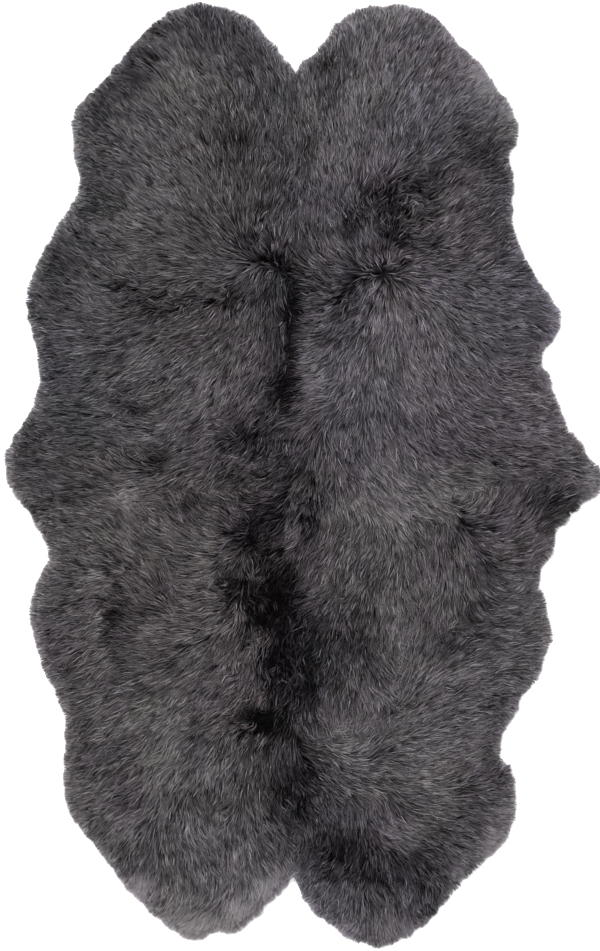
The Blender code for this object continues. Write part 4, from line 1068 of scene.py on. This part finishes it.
def wool_mesh(name, wisps):
    """One mesh of all these wisps: each has a root, pairs of points and a tip."""
    points = wisps["points"]
    count, places = points.shape[:2]
    run = points[:, -1] - points[:, 0]
    run /= np.linalg.norm(run, axis=1)[:, None]
    flat = np.column_stack([wisps["side"], np.zeros(count)])
    flat -= run * (flat * run).sum(axis=1)[:, None]
    flat /= np.linalg.norm(flat, axis=1)[:, None]
    up = np.cross(run, flat)
    across = flat * np.cos(wisps["roll"])[:, None] + up * np.sin(wisps["roll"])[:, None]
    across *= wisps["width"][:, None] / 2

    rows = [points[:, 0]]
    strand = [(0.5, 0.0)]
    pattern = [(0, 2, 1)]
    for k in range(1, places - 1):
        half = across * wisps["widths"][k]
        rows += [points[:, k] - half, points[:, k] + half]
        strand += [(0.0, wisps["steps"][k]), (1.0, wisps["steps"][k])]
        left = 2 * k - 1
        if k < places - 2:
            pattern += [(left, left + 1, left + 3), (left, left + 3, left + 2)]
        else:
            pattern.append((left, left + 1, left + 2))
    rows.append(points[:, -1])
    strand.append((0.5, 1.0))
    verts = np.stack(rows, axis=1).reshape(-1, 3)
    triangles = (len(rows) * np.arange(count)[:, None, None] + np.array(pattern)).reshape(-1, 3)
    mesh = mesh_of(name, verts, triangles)

    strand = np.array(strand)
    tone = classes(wisps["tone"] / TONE_TOP, BAKE_TONES)
    warmth = classes(share_of(WARMTH_RANGE, wisps["tints"][:, 0]), BAKE_WARMTHS)
    rosiness = classes(share_of(ROSINESS_RANGE, wisps["tints"][:, 1]), BAKE_ROSINESSES)
    cell = np.column_stack([tone, warmth * BAKE_ROSINESSES + rosiness])[:, None, :]
    baked = cell + BAKE_EDGE + strand[None] * (1 - 2 * BAKE_EDGE)
    baked /= (BAKE_TONES, BAKE_WARMTHS * BAKE_ROSINESSES)
    corners = triangles.ravel()
    for layer, uv in (("strand", np.tile(strand, (count, 1))), ("OFBake", baked.reshape(-1, 2))):
        made = mesh.uv_layers.new(name=layer)
        made.uv.foreach_set("vector", uv[corners].astype(np.float32).ravel())
    values = (
        ("tone", tone, BAKE_TONES),
        ("warmth", warmth, BAKE_WARMTHS),
        ("rosiness", rosiness, BAKE_ROSINESSES),
    )
    for key, value, steps in values:
        attribute = mesh.attributes.new(key, "FLOAT", "POINT")
        share = np.repeat((value + 0.5) / steps, len(rows))
        attribute.data.foreach_set("value", share.astype(np.float32))
    return mesh


def underwool_mesh(plan, pelt):
    """The closed body under a pelt's wisps, on a square grid with its edge drawn smooth; its material
    colours it near black as painted shade.
    """
    outline = plan.outlines[pelt]
    low = outline.min(axis=0)
    cells = np.ceil((outline.max(axis=0) - low) / UNDERWOOL_STEP).astype(int)
    bm = bmesh.new()
    middles = low + (np.indices(cells).reshape(2, -1).T + 0.5) * UNDERWOOL_STEP
    kept = is_inside(middles, outline) & (plan.read(plan.rim_away, middles) > UNDERWOOL_INSET)
    corners = {}

    def corner(i, j):
        if (i, j) not in corners:
            x, y = low + np.array([i, j]) * UNDERWOOL_STEP
            corners[i, j] = bm.verts.new((x, y, 0.0))
        return corners[i, j]

    for i, j in np.indices(cells).reshape(2, -1).T[kept]:
        bm.faces.new((corner(i, j), corner(i + 1, j), corner(i + 1, j + 1), corner(i, j + 1)))
    places = np.array([vert.co.to_2d() for vert in bm.verts])
    heights = plan.read(plan.height, places) * UNDERWOOL_SHARE
    heights += UNDERWOOL_LUMPS[0] * lumps(places, UNDERWOOL_LUMPS[1], SEED + 15)
    for vert, height in zip(bm.verts, heights):
        vert.co.z = max(height, 2 * UNDERWOOL_FOOT)
    edge = [e for e in bm.edges if e.is_boundary]
    skirt = bmesh.ops.extrude_edge_only(bm, edges=edge)["geom"]
    foot = [item for item in skirt if isinstance(item, bmesh.types.BMVert)]
    for vert in foot:
        vert.co.z = UNDERWOOL_FOOT
    bmesh.ops.holes_fill(bm, edges=[e for e in bm.edges if e.is_boundary])
    bmesh.ops.recalc_face_normals(bm, faces=bm.faces)
    bmesh.ops.triangulate(bm, faces=bm.faces)
    mesh = bpy.data.meshes.new(pelt + "_underwool")
    bm.to_mesh(mesh)
    bm.free()
    mesh.shade_smooth()
    return mesh


def hide_mesh(name, outline):
    """A flat sheet of leather with this outline, closed all round."""
    bm = bmesh.new()
    rings = []
    for height in (0.0, HIDE_THICKNESS):
        rings.append([bm.verts.new((x, y, height)) for x, y in outline])
    count = len(outline)
    for i in range(count):
        after = (i + 1) % count
        bm.faces.new((rings[0][i], rings[0][after], rings[1][after], rings[1][i]))
    made = delaunay_2d_cdt([Vector(p) for p in outline], [], [list(range(count))], 1, 1e-7)
    origin = [sources[0] for sources in made[3]]
    for triangle in made[2]:
        corners = [origin[corner] for corner in triangle]
        bm.faces.new([rings[1][k] for k in corners])
        bm.faces.new([rings[0][k] for k in reversed(corners)])
    bmesh.ops.recalc_face_normals(bm, faces=bm.faces)
    mesh = bpy.data.meshes.new(name)
    bm.to_mesh(mesh)
    bm.free()
    return mesh


# ---------------------------------------------------------------- materials


def new_material(name):
    """A material's node tree and its shader."""
    material = bpy.data.materials.new(name)
    material.use_nodes = True
    return material, material.node_tree, material.node_tree.nodes["Principled BSDF"]


def ramp(tree, source, stops):
    """A colour ramp over (place, colour) rows."""
    node = tree.nodes.new("ShaderNodeValToRGB")
    elements = node.color_ramp.elements
    while len(elements) < len(stops):
        elements.new(0.5)
    for element, (place, colour) in zip(elements, stops):
        element.position = place
        element.color = (*colour, 1.0)
    tree.links.new(source, node.inputs["Fac"])
    return node.outputs["Color"]


def greys(stops):
    """Stops of one shade each, as stops of a grey colour."""
    return [(place, (shade,) * 3) for place, shade in stops]


def math_node(tree, operation, first, second):
    node = tree.nodes.new("ShaderNodeMath")
    node.operation = operation
    for socket, value in zip(node.inputs, (first, second)):
        if isinstance(value, bpy.types.NodeSocket):
            tree.links.new(value, socket)
        else:
            socket.default_value = value
    return node.outputs["Value"]


def multiply_colours(tree, first, second):
    node = tree.nodes.new("ShaderNodeMix")
    node.data_type = "RGBA"
    node.blend_type = "MULTIPLY"
    node.inputs["Factor"].default_value = 1.0
    tree.links.new(first, node.inputs[6])
    tree.links.new(second, node.inputs[7])
    return node.outputs[2]


def attribute_node(tree, key):
    node = tree.nodes.new("ShaderNodeAttribute")
    node.attribute_name = key
    return node.outputs["Fac"]


def shifted_ends(colour, shift, limits):
    """A ramp's two ends: the colour changed by the shift times each limit."""
    return [
        (place, tuple(part * (1 + limit * change) for part, change in zip(colour, shift)))
        for place, limit in zip((0.0, 1.0), limits)
    ]


def wool_material():
    """Grey wool: painted shade darkening each wisp toward its root, streaked along each wisp, with its tone
    and tints.
    """
    material, tree, shader = new_material("wool_combed")
    strand = tree.nodes.new("ShaderNodeUVMap")
    strand.uv_map = "strand"
    parts = tree.nodes.new("ShaderNodeSeparateXYZ")
    tree.links.new(strand.outputs["UV"], parts.inputs[0])
    tone, warmth, rosiness = [
        attribute_node(tree, key) for key in ("tone", "warmth", "rosiness")
    ]

    place = tree.nodes.new("ShaderNodeCombineXYZ")
    across = math_node(tree, "MULTIPLY", parts.outputs["X"], FIBRES_ACROSS)
    tone_shift = math_node(tree, "MULTIPLY", tone, FIBRE_SHIFTS[0])
    tree.links.new(math_node(tree, "ADD", across, tone_shift), place.inputs["X"])
    along = math_node(tree, "MULTIPLY", parts.outputs["Y"], FIBRES_ALONG)
    tree.links.new(along, place.inputs["Y"])
    warmth_shift = math_node(tree, "MULTIPLY", warmth, FIBRE_SHIFTS[1])
    tree.links.new(warmth_shift, place.inputs["Z"])
    fibres = tree.nodes.new("ShaderNodeTexNoise")
    fibres.inputs["Scale"].default_value = 1.0
    fibres.inputs["Detail"].default_value = 1.0
    tree.links.new(place.outputs["Vector"], fibres.inputs["Vector"])

    tone_shades = [(at / TONE_TOP, shade) for at, shade in TONE_SHADES]
    # painted shade: each wisp darker toward its root
    painted_root_shade = ramp(tree, parts.outputs["Y"], greys(ROOT_PAINTED_SHADES))
    tone_shade = ramp(tree, tone, greys(tone_shades))
    fibre_shade = ramp(tree, fibres.outputs["Fac"], greys(FIBRE_SHADES))
    colour = ramp(tree, warmth, shifted_ends(BASE_COLOUR, WARM_SHIFT, WARMTH_RANGE))
    rosy_shade = ramp(tree, rosiness, shifted_ends((1.0,) * 3, ROSY_SHIFT, ROSINESS_RANGE))
    for shade in (rosy_shade, painted_root_shade, tone_shade, fibre_shade):
        colour = multiply_colours(tree, colour, shade)
    tree.links.new(colour, shader.inputs["Base Color"])

    bump = tree.nodes.new("ShaderNodeBump")
    bump.inputs["Strength"].default_value = 0.35
    bump.inputs["Distance"].default_value = 0.0004
    tree.links.new(fibres.outputs["Fac"], bump.inputs["Height"])
    tree.links.new(bump.outputs["Normal"], shader.inputs["Normal"])
    shader.inputs["Roughness"].default_value = 0.6
    gloss = math_node(tree, "MULTIPLY", tone_shade, WOOL_GLOSS)
    tree.links.new(gloss, shader.inputs["Specular IOR Level"])
    return material


def underwool_material():
    """Dense crimped underwool, coloured near black all over: painted shade for the depth of the wool, where
    little light reaches.
    """
    material, tree, shader = new_material("wool_under_painted_shade")
    place = tree.nodes.new("ShaderNodeTexCoord")
    crimp = tree.nodes.new("ShaderNodeTexNoise")
    crimp.inputs["Scale"].default_value = 260.0
    crimp.inputs["Detail"].default_value = 3.0
    tree.links.new(place.outputs["Object"], crimp.inputs["Vector"])
    # painted shade: a near-black colour for the wool deep under the wisps
    colour = ramp(
        tree, crimp.outputs["Fac"], [(0.3, (0.003, 0.0028, 0.003)), (0.7, (0.012, 0.0111, 0.012))]
    )
    tree.links.new(colour, shader.inputs["Base Color"])
    bump = tree.nodes.new("ShaderNodeBump")
    bump.inputs["Distance"].default_value = 0.001
    tree.links.new(crimp.outputs["Fac"], bump.inputs["Height"])
    tree.links.new(bump.outputs["Normal"], shader.inputs["Normal"])
    shader.inputs["Roughness"].default_value = 0.95
    shader.inputs["Specular IOR Level"].default_value = 0.05
    return material


def hide_material():
    """The pelt's flesh side: grey-brown suede with a fine nap."""
    material, tree, shader = new_material("hide_suede")
    place = tree.nodes.new("ShaderNodeTexCoord")
    nap = tree.nodes.new("ShaderNodeTexNoise")
    nap.inputs["Scale"].default_value = 900.0
    nap.inputs["Detail"].default_value = 4.0
    cloud = tree.nodes.new("ShaderNodeTexNoise")
    cloud.inputs["Scale"].default_value = 9.0
    cloud.inputs["Detail"].default_value = 3.0
    for node in (nap, cloud):
        tree.links.new(place.outputs["Object"], node.inputs["Vector"])
    mottle = ramp(
        tree, cloud.outputs["Fac"], [(0.3, (0.115, 0.100, 0.092)), (0.7, (0.190, 0.168, 0.155))]
    )
    fine = ramp(tree, nap.outputs["Fac"], greys(((0.3, 0.8), (0.7, 1.1))))
    tree.links.new(multiply_colours(tree, mottle, fine), shader.inputs["Base Color"])
    bump = tree.nodes.new("ShaderNodeBump")
    bump.inputs["Distance"].default_value = 0.0003
    tree.links.new(nap.outputs["Fac"], bump.inputs["Height"])
    tree.links.new(bump.outputs["Normal"], shader.inputs["Normal"])
    shader.inputs["Roughness"].default_value = 0.9
    return material


def floor_material():
    """A pale matt floor."""
    material, tree, shader = new_material("floor_pale")
    shader.inputs["Base Color"].default_value = (0.86, 0.86, 0.86, 1.0)
    shader.inputs["Roughness"].default_value = 0.8
    return material


# ---------------------------------------------------------------- the rug


def dress(obj, slot, *materials):
    for material in materials:
        obj.data.materials.append(material)
    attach(obj, "root")
    return obj


def build_pelt(plan, pelt, materials):
    """One pelt: its underwool, its three coats of wisps, its rim's wisps and its hide."""
    rng = np.random.default_rng([SEED, *pelt.encode()])
    body = add_object(pelt + "_underwool", underwool_mesh(plan, pelt))
    pieces = [dress(body, "wool", materials["under"])]
    for coat in COATS:
        wisps = lay_wisps(plan, pelt, coat, rng)
        name = f"{pelt}_{coat}"
        pieces.append(dress(add_object(name, wool_mesh(name, wisps)), "wool", materials["wool"]))
    name = pelt + "_rim_wool"
    wisps = lay_rim_wisps(plan, pelt, rng)
    pieces.append(dress(add_object(name, wool_mesh(name, wisps)), "wool", materials["wool"]))
    for piece in pieces:
        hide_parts(pelt)

    outline = plan.bases[pelt]
    name = pelt + "_hide"
    hide = dress(add_object(name, hide_mesh(name, outline)), "hide", materials["hide"])
    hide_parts(pelt)


# ---------------------------------------------------------------- floor, light, camera


def add_floor():
    bpy.ops.mesh.primitive_plane_add(size=FLOOR_SIZE, location=(0.0, 0.0, -FLOOR_DROP))
    floor = bpy.context.object
    floor.name = "floor"
    floor.data.materials.append(floor_material())


def add_light(name, place, size, power):
    light = bpy.data.lights.new(name, "AREA")
    light.shape = "RECTANGLE"
    light.size, light.size_y = size
    light.energy = power
    obj = add_object(name, light)
    obj.location = place
    obj.rotation_euler = (-Vector(place)).to_track_quat("-Z", "Y").to_euler()


def light_room():
    world = bpy.data.worlds.new("room")
    world.use_nodes = True
    background = world.node_tree.nodes["Background"]
    background.inputs["Color"].default_value = (1.0, 1.0, 1.0, 1.0)
    background.inputs["Strength"].default_value = ROOM_LIGHT
    bpy.context.scene.world = world
    for name, (place, size, power) in SOFTBOXES.items():
        add_light(name, place, size, power)


def add_camera():
    data = bpy.data.cameras.new("above")
    data.lens = LENS
    data.sensor_width = SENSOR
    camera = add_object("above", data)
    distance = LENS / SENSOR * PHOTO_HEIGHT * PIXEL + SEEN_HEIGHT
    middle = from_photo([[PHOTO_WIDTH / 2, PHOTO_HEIGHT / 2]])[0]
    camera.location = (middle[0], middle[1], distance)
    bpy.context.scene.camera = camera


def main():
    for obj in list(bpy.data.objects):
        if obj.name in ("Cube", "Light", "Camera"):
            bpy.data.objects.remove(obj)
    bpy.context.scene.view_settings.view_transform = "Standard"
    plan = Plan(frame["nodes"])
    add_floor()
    materials = {"wool": wool_material(), "under": underwool_material(), "hide": hide_material()}
    for pelt in frame["nodes"]:
        build_pelt(plan, pelt, materials)
    light_room()
    add_camera()


main()
